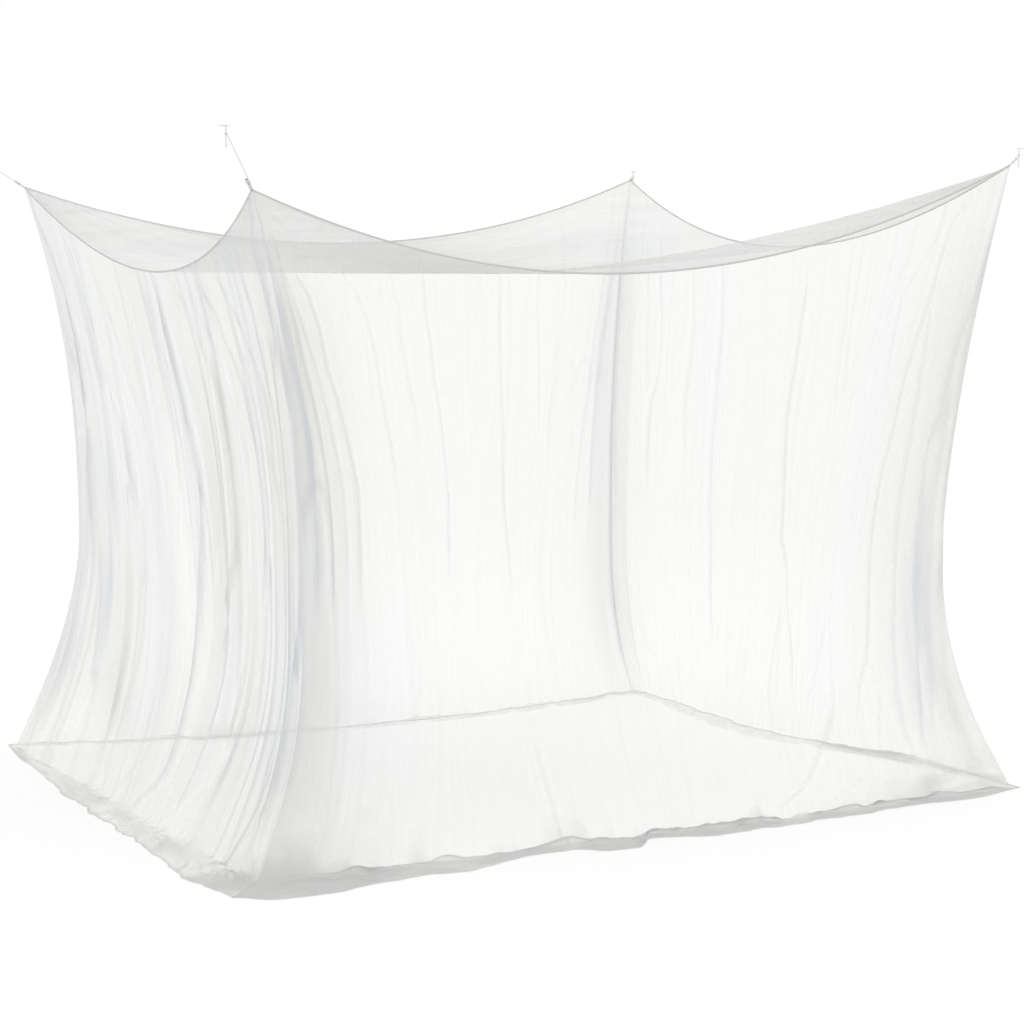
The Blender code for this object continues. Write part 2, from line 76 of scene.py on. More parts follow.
LEG_RADIUS = 0.0025
WRAP_RADIUS = LEG_RADIUS + CORD_RADIUS + 0.0004
WRAP_PITCH = 0.0038
WRAP_TURNS = 1.3
# The cord's turn through the loop's eye: points ahead of the eye's middle and beside it
Turn = namedtuple("Turn", "ahead beside")
EYE_TURN = (
    Turn(0.0065, -0.0082), Turn(0.0028, -0.0080), Turn(0.0006, -0.0060), Turn(0, 0),
    Turn(0.0006, 0.0060), Turn(0.0028, 0.0080), Turn(0.0065, 0.0078), Turn(0.0110, 0.0062),
)

# The visible cloth
COLUMNS = 600
HANG_ROWS = np.concatenate((np.linspace(0, 0.955, 116), np.linspace(0.955, 1.0, 15)[1:]))
LIE_ROWS = np.linspace(1.0, 2.0, 25)[1:]
ROWS = np.concatenate((HANG_ROWS, LIE_ROWS))
HUNG = np.minimum(ROWS, 1.0)
LYING = np.maximum(ROWS - 1.0, 0.0)
PLACES = np.linspace(0.0, 1.0, COLUMNS)
SEAM_GAP = 0.0012        # each wall stops this far short of a corner's line
SEAM_CALM = 0.030        # folds and wrinkles fade out over this distance from a seam
SEAM_SIZE = (0.0011, 0.0007)
CORNER_REACH = 0.24      # wrinkles and a cooler colour fade over this distance from a seam
GATHER_POWER = 1.3
GATHER_GROWN = 0.22      # the gathers at a seam are whole from this share of the drop on
BAND_WIDTH = 0.21        # width of the broad bands of denser and clearer cloth
TINT_WIDTH = 0.20        # width of the patches of warmer and cooler cloth
PALE_UNDER = 0.06        # creases narrower than this have a clear pale line, a painted highlight, beside the dark one
PALEST = 0.45            # the least share of the plain cloth's density that is left in a pale line, a painted highlight
STEEPEST = 0.25          # the least cosine that counts for cloth turned away from its wall's plane
CLOTH_LIFT = 0.0012      # the visible cloth lies this high over the floor
HEM_SWAY = ((0.42, 0.009), (0.19, 0.005), (0.085, 0.002))    # wavelength and reach of the hem line's sway
HEM_ROLL = 0.0017
FLOOR_COOL = 0.20        # how cool the lying net's colour is
RUCK_WIDTH = 0.07        # width of the fine rucks of the lying cloth
RAGGED_WIDTH = 0.06      # width of the rags at the edge of a heap
ROOF_STEPS = 240
ROOF_INSET = 0.0030      # from a binding's middle to the roof's rim
ROOF_DENSITY = 0.34
ROOF_BELLY = 0.44        # how much denser the roof looks along its sagging middle
ROOF_SMOOTHED = 12       # passes that even out the roof's height
ROOF_WRINKLE = 0.0012
TAPE_HIGH, TAPE_THICK = 0.0072, 0.0022
STITCH_STEP, STITCH_LONG, STITCH_WIDE = 0.0075, 0.0046, 0.0005
STITCH_LOW = 0.0016      # the tape's stitches run this far below its middle
BAR_STEP, BAR_REACH = 0.0014, 0.0042    # the bars of stitches across a loop's tail
KNOT_TURNS, KNOT_SIDES = 3, 14
KNOT_WIDE, KNOT_HIGH, KNOT_CORD = 0.0052, 0.0030, 0.0013
MESH_PITCH = 0.0022
COVER_LEAST, COVER_MOST = 0.07, 0.95    # share of threads in the clearest and the densest cloth
# The net's own pale colours, and the greys of painted shade that it turns to where it is dense
PALE_WARM, PALE_COOL = (0.87, 0.85, 0.79), (0.80, 0.83, 0.89)
PAINTED_SHADE_WARM, PAINTED_SHADE_COOL = (0.63, 0.625, 0.595), (0.575, 0.605, 0.655)

# The stage
FLOOR_SIZE = 900
FLOOR_GLOW = (0.14, 0.100)      # near the net, where the extra glow is painted light that lifts the net's shade, and far from it
GLOW_REACH = (3.0, 12.0)        # where the first of these ends and the second begins
FRAME, FOCUS = 1024, 2600       # the photo's width, and its focal length in the same pixels
SENSOR = 36.0
CAMERA_PLACE = (-4.97, -9.54, 2.08)
CAMERA_TURN = (84.73, 0, -27.98)

CORNERS = {
    "back_left": dict(top=(-1.57, 1.29, 2.44), waist=(0.165, -0.165), foot=(-0.035, 0.165), hem=(-0.045, 0.232),
                      draw=2.2, flare=0.95, power=1.6, reach=0.155, loop=0.036),
    "front_left": dict(top=(-1.57, -1.25, 2.36), waist=(0.31, 0.31), foot=(-0.07, -0.15), hem=(-0.225, -0.33),
                       draw=2.0, flare=0.80, power=2.6, reach=0.215, loop=0.040),
    "front_right": dict(top=(1.61, -1.34, 2.50), waist=(-0.17, 0.17), foot=(0.083, 0.018), hem=(0.108, 0.004),
                        draw=1.4, flare=0.90, power=2.0, reach=0.032, loop=0.022),
    "back_right": dict(top=(1.44, 1.31, 2.52), waist=(-0.24, -0.24), foot=(0.10, 0.12), hem=(0.16, 0.20),
                       draw=2.0, flare=0.85, power=2.0, reach=0.045, loop=0.020),
}

Bulge = namedtuple("Bulge", "at waist foot hem")
Fold = namedtuple("Fold", "top waist foot width depth")
# How dense the net is beside the seam at one end, and how far that reaches
Gather = namedtuple("Gather", "dense reach")
# Fine wrinkles: how far apart and how long they are, a line's share of that distance, their depth and their density
Fine = namedtuple("Fine", "apart long line depth dense")
# A crease of the cloth: its half width and depth in metres, how much denser and cooler in colour the net is along it,
# and its path in thousandths: how far down the cloth, to 1000 hanging and to 2000 lying, and how far across
Crease = namedtuple("Crease", "width depth dense cool down across")
# A heap of gathered cloth: its place down and across, its half height, half width and rise in metres, and how dense
# and cool it is
Pile = namedtuple("Pile", "down column high wide lift dense cool")

# The walls' settings: sag and bow, how far the top edge hangs down and bends inward; density, of the plain hanging
# net; clear, how much less of it low down; broad, gathered, laid, edge and turned, how much more in broad bands, at
# the two seams, on the floor, at the hem and where the cloth turns away; cool, how cool the hanging net's colour is;
# relief, the share of the solid folds' depth; quiet, the share of the fine wrinkles far from the corners
WALLS = {
    "left": dict(
        ends=("back_left", "front_left"), sag=0.317, bow=0.10, density=0.385, clear=0.15, broad=0.13,
        gathered=(Gather(0.14, 0.25), Gather(0.20, 0.22)), cool=0.35, quiet=0.85,
        relief=0.55, turned=0.08, laid=0.08, edge=0.32, seed=11,
        fine=(Fine(0.085, 1.0, 0.20, 0.005, 0.33), Fine(0.048, 0.7, 0.22, 0.003, 0.25)),
        bulges=(
            Bulge(0.17, 0.00, 0.00, 0.03), Bulge(0.35, 0.00, -0.02, 0.052), Bulge(0.58, -0.02, 0.00, 0.053),
            Bulge(0.74, 0.00, 0.00, 0.039), Bulge(0.82, 0.00, 0.00, 0.060), Bulge(0.93, 0.00, 0.00, 0.042),
        ),
        folds=(
            Fold(0.030, 0.040, 0.06, 0.040, 0.025), Fold(0.08, 0.12, 0.22, 0.075, 0.035),
            Fold(0.14, 0.20, 0.31, 0.065, -0.028), Fold(0.20, 0.30, 0.40, 0.075, 0.048),
            Fold(0.34, 0.42, 0.50, 0.090, 0.032), Fold(0.48, 0.565, 0.61, 0.080, 0.050),
            Fold(0.66, 0.735, 0.69, 0.085, 0.050), Fold(0.76, 0.845, 0.81, 0.075, 0.038),
            Fold(0.88, 0.92, 0.91, 0.070, -0.030), Fold(0.955, 0.965, 0.965, 0.045, 0.030),
        ),
    ),
    "front": dict(
        ends=("front_left", "front_right"), sag=0.352, bow=0.10, density=0.065, clear=0.0, broad=0.0,
        gathered=(Gather(0.76, 0.16), Gather(0.22, 0.20)), cool=0.10, quiet=0.12,
        relief=0.80, turned=0.05, laid=0.64, edge=0.20, seed=23,
        fine=(Fine(0.060, 1.0, 0.16, 0.003, 0.20), Fine(0.036, 0.7, 0.18, 0.0015, 0.12)),
        bulges=(
            Bulge(0.03, 0.00, 0.01, 0.085), Bulge(0.09, 0.00, 0.03, 0.110), Bulge(0.15, 0.00, 0.02, 0.085),
            Bulge(0.21, 0.00, 0.01, 0.050), Bulge(0.26, 0.00, 0.03, 0.080), Bulge(0.32, 0.00, 0.00, 0.005),
            Bulge(0.385, 0.00, -0.01, -0.015), Bulge(0.415, 0.00, 0.02, 0.075), Bulge(0.45, 0.00, 0.02, 0.085),
            Bulge(0.485, 0.00, 0.01, -0.010), Bulge(0.54, 0.00, 0.03, 0.060), Bulge(0.70, 0.00, 0.03, 0.065),
            Bulge(0.86, 0.00, 0.02, 0.040), Bulge(0.94, 0.00, 0.01, 0.055),
        ),
        folds=(
            Fold(0.025, 0.035, 0.05, 0.050, 0.032), Fold(0.07, 0.085, 0.11, 0.060, 0.035),
            Fold(0.12, 0.14, 0.17, 0.060, -0.028), Fold(0.17, 0.185, 0.22, 0.070, 0.038),
            Fold(0.31, 0.30, 0.38, 0.090, 0.042), Fold(0.45, 0.45, 0.48, 0.100, 0.030),
            Fold(0.59, 0.60, 0.59, 0.100, -0.025), Fold(0.73, 0.73, 0.68, 0.090, 0.045),
            Fold(0.82, 0.81, 0.75, 0.075, 0.035), Fold(0.91, 0.875, 0.82, 0.080, -0.030),
            Fold(0.955, 0.925, 0.88, 0.055, 0.035), Fold(0.985, 0.96, 0.94, 0.040, -0.022),
        ),
    ),
    "right": dict(
        ends=("front_right", "back_right"), sag=0.32, bow=0.08, density=0.065, clear=0.0, broad=0.0,
        gathered=(Gather(0.32, 0.34), Gather(0.46, 0.17)), cool=0.20, quiet=0.30,
        relief=0.70, turned=0.06, laid=0.12, edge=0.14, seed=37,
        fine=(Fine(0.070, 1.0, 0.16, 0.003, 0.18), Fine(0.042, 0.7, 0.18, 0.0015, 0.12)),
        bulges=(
            Bulge(0.25, 0.00, -0.04, 0.02), Bulge(0.40, 0.00, -0.14, -0.06), Bulge(0.58, 0.00, -0.22, -0.12),
            Bulge(0.80, 0.00, -0.12, -0.05),
        ),
        folds=(
            Fold(0.025, 0.06, 0.08, 0.050, 0.032), Fold(0.10, 0.15, 0.19, 0.080, 0.035),
            Fold(0.21, 0.24, 0.31, 0.080, -0.028), Fold(0.32, 0.33, 0.43, 0.080, 0.040),
            Fold(0.44, 0.44, 0.51, 0.080, -0.022), Fold(0.55, 0.53, 0.59, 0.080, 0.038),
            Fold(0.66, 0.67, 0.69, 0.080, 0.030), Fold(0.76, 0.765, 0.78, 0.075, -0.028),
            Fold(0.86, 0.885, 0.89, 0.075, 0.040), Fold(0.955, 0.96, 0.965, 0.045, 0.028),
        ),
    ),
    "back": dict(
        ends=("back_right", "back_left"), sag=0.27, bow=0.10, density=0.065, clear=0.0, broad=0.0,
        gathered=(Gather(0.40, 0.12), Gather(0.10, 0.12)), cool=0.10, quiet=0.20,
        relief=0.80, turned=0.05, laid=0.10, edge=0.12, seed=51,
        fine=(Fine(0.060, 1.0, 0.16, 0.003, 0.18), Fine(0.036, 0.7, 0.18, 0.0015, 0.12)),
        bulges=(
            Bulge(0.12, 0.00, -0.14, -0.10), Bulge(0.35, 0.00, -0.26, -0.24), Bulge(0.65, 0.00, -0.27, -0.26),
            Bulge(0.88, 0.00, -0.13, -0.12),
        ),
        folds=(
            Fold(0.025, 0.030, 0.05, 0.045, 0.035), Fold(0.065, 0.085, 0.12, 0.060, -0.032),
            Fold(0.12, 0.135, 0.18, 0.060, 0.032), Fold(0.20, 0.20, 0.25, 0.075, 0.030),
            Fold(0.32, 0.30, 0.33, 0.090, -0.025), Fold(0.43, 0.39, 0.41, 0.085, 0.040),
            Fold(0.56, 0.54, 0.54, 0.095, 0.030), Fold(0.69, 0.68, 0.67, 0.090, -0.028),
            Fold(0.80, 0.80, 0.79, 0.085, 0.038), Fold(0.90, 0.90, 0.91, 0.075, 0.030),
            Fold(0.965, 0.965, 0.965, 0.040, -0.022),
        ),
    ),
}

CREASES = {
    "left": (
        Crease(0.024, 0.008, 0.28, 0.1, (0, 43, 84, 133, 172, 214, 260, 318, 384, 471, 536, 637, 729, 820, 895,
               955), (13, 13, 33, 47, 70, 82, 83, 79, 57, 42, 40, 35, 33, 35, 33, 28)),
        Crease(0.014, 0.005, 0.13, 0.0, (12, 43, 91, 143, 198, 256, 296, 343, 405, 470, 526, 626, 738, 831), (113,
               135, 142, 154, 163, 170, 203, 211, 211, 224, 234, 221, 214, 207)),
        Crease(0.012, 0.004, 0.10, 0.0, (17, 47, 88, 133, 178, 225), (203, 220, 236, 257, 273, 281)),
        Crease(0.026, 0.009, 0.21, 0.3, (19, 56, 107, 149, 180), (462, 451, 445, 442, 483)),
        Crease(0.026, 0.010, 0.31, 0.2, (26, 70, 112, 166, 222, 282, 322, 366, 436, 536, 614, 705, 795, 874, 924,
               966, 994), (508, 499, 496, 499, 505, 506, 515, 520, 510, 496, 488, 480, 480, 485, 485, 414, 377)),
        Crease(0.012, 0.004, 0.15, 0.2, (160, 212, 264, 307, 394, 510), (437, 444, 438, 437, 426, 392)),
        Crease(0.026, 0.006, 0.13, 0.0, (17, 45, 90, 130, 184, 239, 270, 310, 364, 439, 535, 606, 681), (572, 591,
               615, 631, 669, 679, 683, 684, 686, 689, 677, 655, 608)),
        Crease(0.016, 0.006, 0.21, 0.2, (26, 60, 102, 147, 195, 242, 307, 366, 425, 501, 592), (694, 698, 727, 730,
               765, 776, 779, 786, 787, 786, 773)),
        Crease(0.014, 0.005, 0.18, 0.1, (47, 85, 135, 178, 226, 270, 321, 394, 457), (769, 793, 815, 832, 855, 862,
               867, 860, 868)),
        Crease(0.014, 0.005, 0.20, 0.3, (79, 135, 189, 240, 291), (872, 882, 876, 879, 873)),
        Crease(0.012, 0.004, 0.13, 0.0, (60, 129, 200, 265, 329, 422, 518), (245, 253, 256, 291, 346, 349, 334)),
        Crease(0.011, 0.003, 0.11, 0.0, (25, 84, 149, 214, 285, 378), (362, 377, 374, 376, 388, 396)),
        Crease(0.011, 0.003, 0.11, 0.0, (17, 71, 130, 189, 254, 327), (640, 652, 683, 701, 715, 722)),
        Crease(0.036, 0.006, 0.16, 0.4, (422, 495, 589, 699, 791), (124, 121, 107, 97, 97)),
        Crease(0.038, 0.008, 0.21, 0.1, (591, 664, 753, 843, 907), (154, 156, 159, 164, 167)),
        Crease(0.022, 0.004, 0.09, 0.0, (581, 681, 767, 848, 881, 921, 957, 999), (669, 608, 627, 673, 673, 673,
               652, 506)),
        Crease(0.013, 0.005, 0.16, 0.0, (643, 758, 829), (779, 776, 782)),
        Crease(0.014, 0.004, 0.18, 0.0, (916, 955, 984, 1505), (360, 298, 257, 299)),
        Crease(0.019, 0.006, 0.21, 0.0, (877, 919, 947, 972, 1047, 1594), (872, 912, 917, 876, 836, 843)),
        Crease(0.017, 0.004, -0.16, 0.3, (160, 253, 346, 439, 533), (367, 363, 363, 363, 357)),
        Crease(0.024, 0.004, -0.18, 0.4, (181, 254, 327, 398, 468, 572), (708, 715, 722, 723, 722, 708)),
        Crease(0.019, 0.004, -0.16, 0.3, (265, 326, 394, 478, 577), (822, 828, 833, 828, 808)),
        Crease(0.019, 0.003, -0.13, 0.2, (253, 332, 422, 535), (223, 230, 234, 218)),
        Crease(0.019, 0.003, -0.11, 0.0, (115, 189, 260, 355), (182, 172, 171, 159)),
        Crease(0.041, 0.009, 0.30, 0.2, (12, 53, 112, 174, 229, 293, 349, 403, 465, 527, 605, 696, 750), (981, 957,
               967, 975, 983, 992, 1000, 1000, 1000, 1000, 1000, 989, 972)),
        Crease(0.038, 0.009, 0.10, 0.0, (712, 788, 857, 916, 973, 1427), (983, 968, 964, 960, 925, 961)),
        Crease(0.108, 0.000, 0.11, 0.0, (831, 885, 929, 966, 1047), (968, 968, 965, 933, 904)),
        Crease(0.014, 0.008, 0.29, 0.1, (881, 915, 946, 973, 1172), (914, 911, 883, 868, 839)),
        Crease(0.192, 0.000, 0.10, 0.1, (612, 716, 815, 899), (90, 103, 141, 243)),
        Crease(0.054, 0.000, -0.22, 0.0, (313, 423, 530, 636, 741), (49, 39, 35, 38, 44)),
    ),
    "front": (
        Crease(0.014, 0.008, 0.22, 0.4, (14, 73, 127, 186, 245, 305, 367, 429, 491, 553, 617), (1, 0, 6, 7, 10, 13,
               14, 14, 14, 14, 13)),
        Crease(0.011, 0.007, 0.20, 0.5, (57, 130, 189, 248, 307, 367, 429), (0, 0, 3, 6, 10, 13, 13)),
        Crease(0.010, 0.006, 0.29, 0.2, (81, 138, 189, 242, 301, 361, 423, 487, 549, 612), (13, 14, 17, 18, 22, 25,
               28, 29, 28, 26)),
        Crease(0.010, 0.006, 0.29, 0.1, (109, 132, 178, 245, 298, 371, 431, 502, 602), (32, 43, 49, 51, 58, 63, 67,
               64, 61)),
        Crease(0.010, 0.005, 0.20, 0.1, (116, 164, 214, 273, 341, 419, 498, 578), (17, 22, 28, 38, 44, 50, 50, 49)),
        Crease(0.010, 0.005, 0.23, 0.3, (81, 104, 141, 189, 264, 335, 389), (97, 110, 118, 122, 122, 125, 127)),
        Crease(0.010, 0.004, 0.17, 0.1, (57, 102, 161, 223, 313), (161, 164, 160, 161, 164)),
        Crease(0.010, 0.006, 0.32, 0.6, (43, 99, 158, 219, 274, 341, 415, 550), (206, 204, 206, 206, 209, 210, 209,
               198)),
        Crease(0.010, 0.003, 0.14, 0.0, (23, 71), (284, 285)),
        Crease(0.010, 0.005, 0.29, 0.1, (22, 157, 291, 406, 502, 544), (310, 310, 307, 302, 303, 302)),
        Crease(0.010, 0.003, 0.17, 0.1, (16, 73, 155, 315, 406), (321, 324, 324, 310, 303)),
        Crease(0.010, 0.004, 0.23, 0.1, (836, 916, 968, 1661), (298, 299, 299, 310)),
        Crease(0.010, 0.006, 0.38, 0.1, (79, 138, 217, 276, 322, 395, 465, 522, 571, 633, 688, 743, 797), (723, 719,
               715, 712, 712, 715, 718, 720, 732, 741, 755, 759, 755)),
        Crease(0.010, 0.003, 0.14, 0.0, (153, 220, 291, 361, 451), (736, 727, 722, 720, 725)),
        Crease(0.010, 0.004, 0.20, 0.0, (67, 107, 161, 206, 276, 313), (786, 787, 790, 789, 790, 794)),
        Crease(0.010, 0.003, 0.17, 0.0, (250, 284, 310), (819, 816, 814)),
        Crease(0.010, 0.004, 0.23, 0.2, (25, 88, 175, 262), (800, 800, 798, 802)),
        Crease(0.009, 0.007, 0.30, 0.3, (0, 5, 43, 99, 166, 219, 282, 329, 380, 433, 474, 536, 608, 665, 708, 766,
               797, 850), (936, 974, 935, 930, 929, 926, 922, 921, 922, 919, 918, 919, 921, 923, 923, 919, 910,
               879)),
        Crease(0.010, 0.004, 0.23, 0.2, (8, 71, 105, 150, 220, 304), (917, 915, 898, 879, 880, 885)),
        Crease(0.014, 0.009, 0.34, 0.4, (147, 188, 236, 284, 338, 388, 426, 464, 526, 586, 684, 749, 797, 859, 904),
               (997, 996, 992, 990, 989, 989, 983, 982, 986, 986, 986, 985, 978, 969, 960)),
        Crease(0.011, 0.007, 0.24, 0.5, (192, 259, 341, 423, 505, 572, 671, 738, 788, 836, 885, 915), (933, 940,
               944, 946, 947, 950, 953, 951, 950, 947, 946, 947)),
        Crease(0.010, 0.006, 0.29, 0.2, (366, 445, 527, 625, 721, 834, 895), (993, 993, 993, 993, 992, 986, 976)),
        Crease(0.011, 0.008, 0.36, 0.3, (23, 87, 157, 226, 307, 388, 468, 549, 629, 693), (999, 1000, 999, 999, 999,
               1000, 1000, 1000, 1000, 999)),
        Crease(0.010, 0.006, 0.32, 0.0, (628, 693, 757, 805, 870, 926), (999, 997, 996, 994, 993, 993)),
        Crease(0.019, 0.008, 0.30, 0.1, (806, 854, 884, 902, 941, 968, 979), (836, 815, 802, 791, 759, 722, 691)),
        Crease(0.017, 0.004, 0.12, 0.1, (943, 956, 975, 983, 990), (885, 847, 808, 784, 741)),
        Crease(0.062, 0.000, 0.15, 0.2, (617, 713, 809, 905), (982, 975, 967, 962)),
    ),
    "right": (
        Crease(0.015, 0.003, -0.12, 0.8, (211, 298, 392, 487), (956, 930, 925, 917)),
        Crease(0.015, 0.005, 0.28, 0.3, (64, 153, 222, 298, 374, 436, 519), (873, 861, 848, 840, 865, 869, 868)),
        Crease(0.015, 0.003, 0.15, 0.3, (79, 189, 360), (917, 893, 875)),
        Crease(0.015, 0.004, 0.20, 0.1, (47, 129, 188, 268, 332, 398, 440), (766, 752, 743, 744, 750, 748, 746)),
        Crease(0.015, 0.005, 0.22, 0.5, (25, 88, 172, 279, 358, 439, 518, 598, 705, 836), (677, 669, 665, 668, 668,
               670, 670, 665, 662, 647)),
        Crease(0.015, 0.003, 0.15, 0.1, (733, 795, 843, 907, 961), (423, 432, 438, 437, 421)),
        Crease(0.015, 0.003, 0.18, 0.0, (735, 788, 850, 893), (277, 292, 319, 330)),
        Crease(0.015, 0.003, 0.20, 0.0, (873, 907, 959), (145, 161, 175)),
        Crease(0.016, 0.005, 0.24, 0.4, (39, 93, 163, 234, 313, 403, 484, 564), (1, 3, 3, 4, 4, 1, 0, 0)),
    ),
    "back": (
        Crease(0.011, 0.003, 0.20, 0.1, (126, 191, 284, 415), (170, 168, 156, 145)),
        Crease(0.011, 0.003, 0.12, 0.0, (265, 344, 412, 471), (113, 111, 115, 113)),
        Crease(0.015, 0.008, 0.34, 0.9, (48, 113, 183, 271, 371, 419, 518, 617, 718, 817, 922), (0, 0, 0, 0, 0, 0,
               0, 0, 0, 0, 0)),
        Crease(0.017, 0.006, 0.18, 0.5, (110, 202, 295, 388, 481, 594), (13, 18, 22, 25, 28, 29)),
        Crease(0.011, 0.004, 0.18, 0.3, (160, 270, 380, 490, 622), (29, 39, 44, 53, 57)),
        Crease(0.011, 0.003, 0.12, 0.1, (14, 88, 171), (136, 122, 108)),
    ),
}

PILES = {
    "left": (
        Pile(1.552, 0.950, 0.18, 0.26, 0.014, 0.65, 0.1),
        Pile(1.432, 0.432, 0.06, 0.12, 0.008, 0.21, 0.2),
        Pile(1.651, 0.712, 0.06, 0.12, 0.008, 0.21, 0.2),
        Pile(1.797, 0.181, 0.05, 0.14, 0.006, 0.15, 0.2),
    ),
    "front": (
        Pile(0.998, 0.003, 0.22, 0.36, 0.014, 0.65, 0.1),
        Pile(0.970, 0.025, 0.42, 0.40, 0.000, 0.18, 0.2),
        Pile(1.885, 0.072, 0.10, 0.28, 0.010, 0.25, 0.2),
        Pile(1.776, 0.157, 0.08, 0.30, 0.010, 0.25, 0.2),
        Pile(1.750, 0.249, 0.07, 0.30, 0.010, 0.25, 0.3),
        Pile(1.776, 0.374, 0.09, 0.18, 0.016, 0.38, 0.2),
        Pile(1.760, 0.522, 0.14, 0.28, 0.016, 0.38, 0.2),
        Pile(1.229, 0.631, 0.10, 0.16, 0.014, 0.35, 0.2),
        Pile(1.443, 0.784, 0.07, 0.26, 0.010, 0.25, 0.2),
        Pile(0.995, 0.919, 0.06, 0.24, 0.010, 0.25, 0.2),
        Pile(0.992, 0.979, 0.07, 0.20, 0.012, 0.40, 0.3),
        Pile(0.969, 0.968, 0.05, 0.16, 0.004, 0.25, 0.3),
        Pile(0.966, 0.929, 0.10, 0.30, 0.004, 0.22, 0.1),
    ),
    "right": (
        Pile(1.802, 0.252, 0.07, 0.30, 0.014, 0.55, 0.2),
        Pile(1.479, 0.159, 0.03, 0.20, 0.012, 0.42, 0.3),
        Pile(1.484, 0.063, 0.03, 0.24, 0.012, 0.35, 0.3),
    ),
    "back": (
        Pile(1.000, 0.722, 0.08, 0.22, 0.008, 0.40, 0.2),
    ),
}


def smooth_step(low, high, value):
    """0 below low, 1 above high, and an even S between."""
    t = np.clip((value - low) / (high - low), 0.0, 1.0)
    return t * t * (3 - 2 * t)


def between(rows, column, at):
    """A table's column at places between its rows, along a smooth curve through them that starts and ends at 0."""
    rows = (Bulge(0, 0, 0, 0), *rows, Bulge(1, 0, 0, 0))
    places = np.array([row.at for row in rows], float)
    values = np.array([getattr(row, column) for row in rows], float)
    slopes = np.zeros(len(rows))
    slopes[1:-1] = (values[2:] - values[:-2]) / (places[2:] - places[:-2])
    i = np.clip(np.searchsorted(places, at, side="left") - 1, 0, len(rows) - 2)
    span = places[i + 1] - places[i]
    t = (at - places[i]) / span
    ends = (2 * t**3 - 3 * t**2 + 1) * values[i] + (3 * t**2 - 2 * t**3) * values[i + 1]
    return ends + span * ((t**3 - 2 * t**2 + t) * slopes[i] + (t**3 - t**2) * slopes[i + 1])


def chord(wall):
    """The corners at a wall's two ends, its length, and its directions along and outward."""
    first, last = (CORNERS[name] for name in wall["ends"])
    dx = last["top"][0] - first["top"][0]
    dy = last["top"][1] - first["top"][1]
    length = hypot(dx, dy)
    return first, last, length, np.array((dx, dy, 0)) / length, np.array((dy, -dx, 0)) / length


def straight_edge(wall, share):
    """Points on the straight line between a wall's two top corners."""
    start, end = (np.array(CORNERS[name]["top"]) for name in wall["ends"])
    return start + (end - start) * share[..., None]


def edge_point(wall, share):
    """Points on the sagging seam between the roof and a wall."""
    outward = chord(wall)[4]
    hump = (4 * share * (1 - share))[..., None]
    return straight_edge(wall, share) - outward * wall["bow"] * hump - hump * (0, 0, wall["sag"])


def hang_point(wall, share, down):
    """Points of the smooth wall, before its folds: down is 0 to 1 hanging and 1 to 2 lying."""
    first, last, _, _, outward = chord(wall)
    top = edge_point(wall, share)
    straight = straight_edge(wall, share)
    straight[..., 2] = 0

    def plan(key):
        a, b = np.array((*first[key], 0.0)), np.array((*last[key], 0.0))
        return a + (b - a) * share[..., None] + outward * between(wall["bulges"], key, share)[..., None]

    waist, foot, hem = plan("waist"), plan("foot"), plan("hem")
    hung = np.minimum(down, 1.0)
    height = top[..., 2] * (1 - hung)
    draw, flare, power = (first[key] + (last[key] - first[key]) * share for key in ("draw", "flare", "power"))
    drawn = (1 - (1 - np.minimum(hung / WAIST_AT, 1.0)) ** draw)[..., None]
    swept = (np.maximum(0.0, 1 - height / flare) ** power)[..., None]
    top_offset = top - straight
    top_offset[..., 2] = 0
    point = straight + top_offset * (1 - drawn) + waist * drawn + (foot - waist) * swept
    point += (hem - foot) * np.maximum(down - 1, 0.0)[..., None]
    point[..., 2] = height * (1 - np.exp(-height / LANDING_SOFT))
    return point


def fold_path(fold, hung):
    """Where a fold runs at a share of the drop, as a share of the wall's width."""
    ends = fold.top * (1 - hung) * (1 - 2 * hung) + fold.foot * hung * (2 * hung - 1)
    return ends + fold.waist * 4 * hung * (1 - hung)


def follow_folds(wall, columns, hung):
    """Where the columns of the cloth, named by their places on the top edge, are at one share of the drop."""
    ends = (Fold(0, 0, 0, 0, 0), *wall["folds"], Fold(1, 1, 1, 0, 0))
    tops = [fold.top for fold in ends]
    return np.interp(columns, tops, [fold_path(fold, hung) for fold in ends])


def sin_squared(share):
    """0 at 0 and 1, and 1 halfway."""
    return np.sin(pi * share) ** 2


def bump(off):
    """A smooth bump, 1 at 0 and 0 from 1 on."""
    return np.cos(np.clip(off, -1, 1) * pi / 2) ** 2


def sampled(field, down, across, eased=False):
    """Values of a grid of numbers at places from 0 to 1 down and across it, between its own points."""
    cells = [size - 1 for size in field.shape]
    spots = [np.clip(place, 0, 1) * cell for place, cell in zip((down, across), cells)]
    i, j = (np.minimum(spot.astype(int), cell - 1) for spot, cell in zip(spots, cells))
    t, s = spots[0] - i, spots[1] - j
    if eased:
        t, s = t * t * (3 - 2 * t), s * s * (3 - 2 * s)
    upper = field[i, j] * (1 - s) + field[i, j + 1] * s
    lower = field[i + 1, j] * (1 - s) + field[i + 1, j + 1] * s
    return upper * (1 - t) + lower * t


def smooth_noise(rng, down, across, cells):
    """Smooth random values, in so many cells, where rows at down meet columns at across, both from 0 to 1."""
    seeds = rng.normal(0, 1, (cells[0] + 1, cells[1] + 1))
    return sampled(seeds, down[:, None], across, eased=True)


def wall_base(name):
    """A wall's points with its main folds, row by row, and the share of the width where each one is."""
    wall = WALLS[name]
    length = chord(wall)[2]
    inset = SEAM_GAP / length
    share = np.array([inset + (1 - 2 * inset) * follow_folds(wall, PLACES, hung) for hung in HUNG])
    points = hang_point(wall, share, np.broadcast_to(ROWS[:, None], share.shape))
    depth = np.zeros(COLUMNS)
    for fold in wall["folds"]:
        depth += wall["relief"] * fold.depth * bump((PLACES - fold.top) * length / fold.width)
    return points, share, depth * smooth_step(0.0, FOLDS_GROWN, HUNG)[:, None]


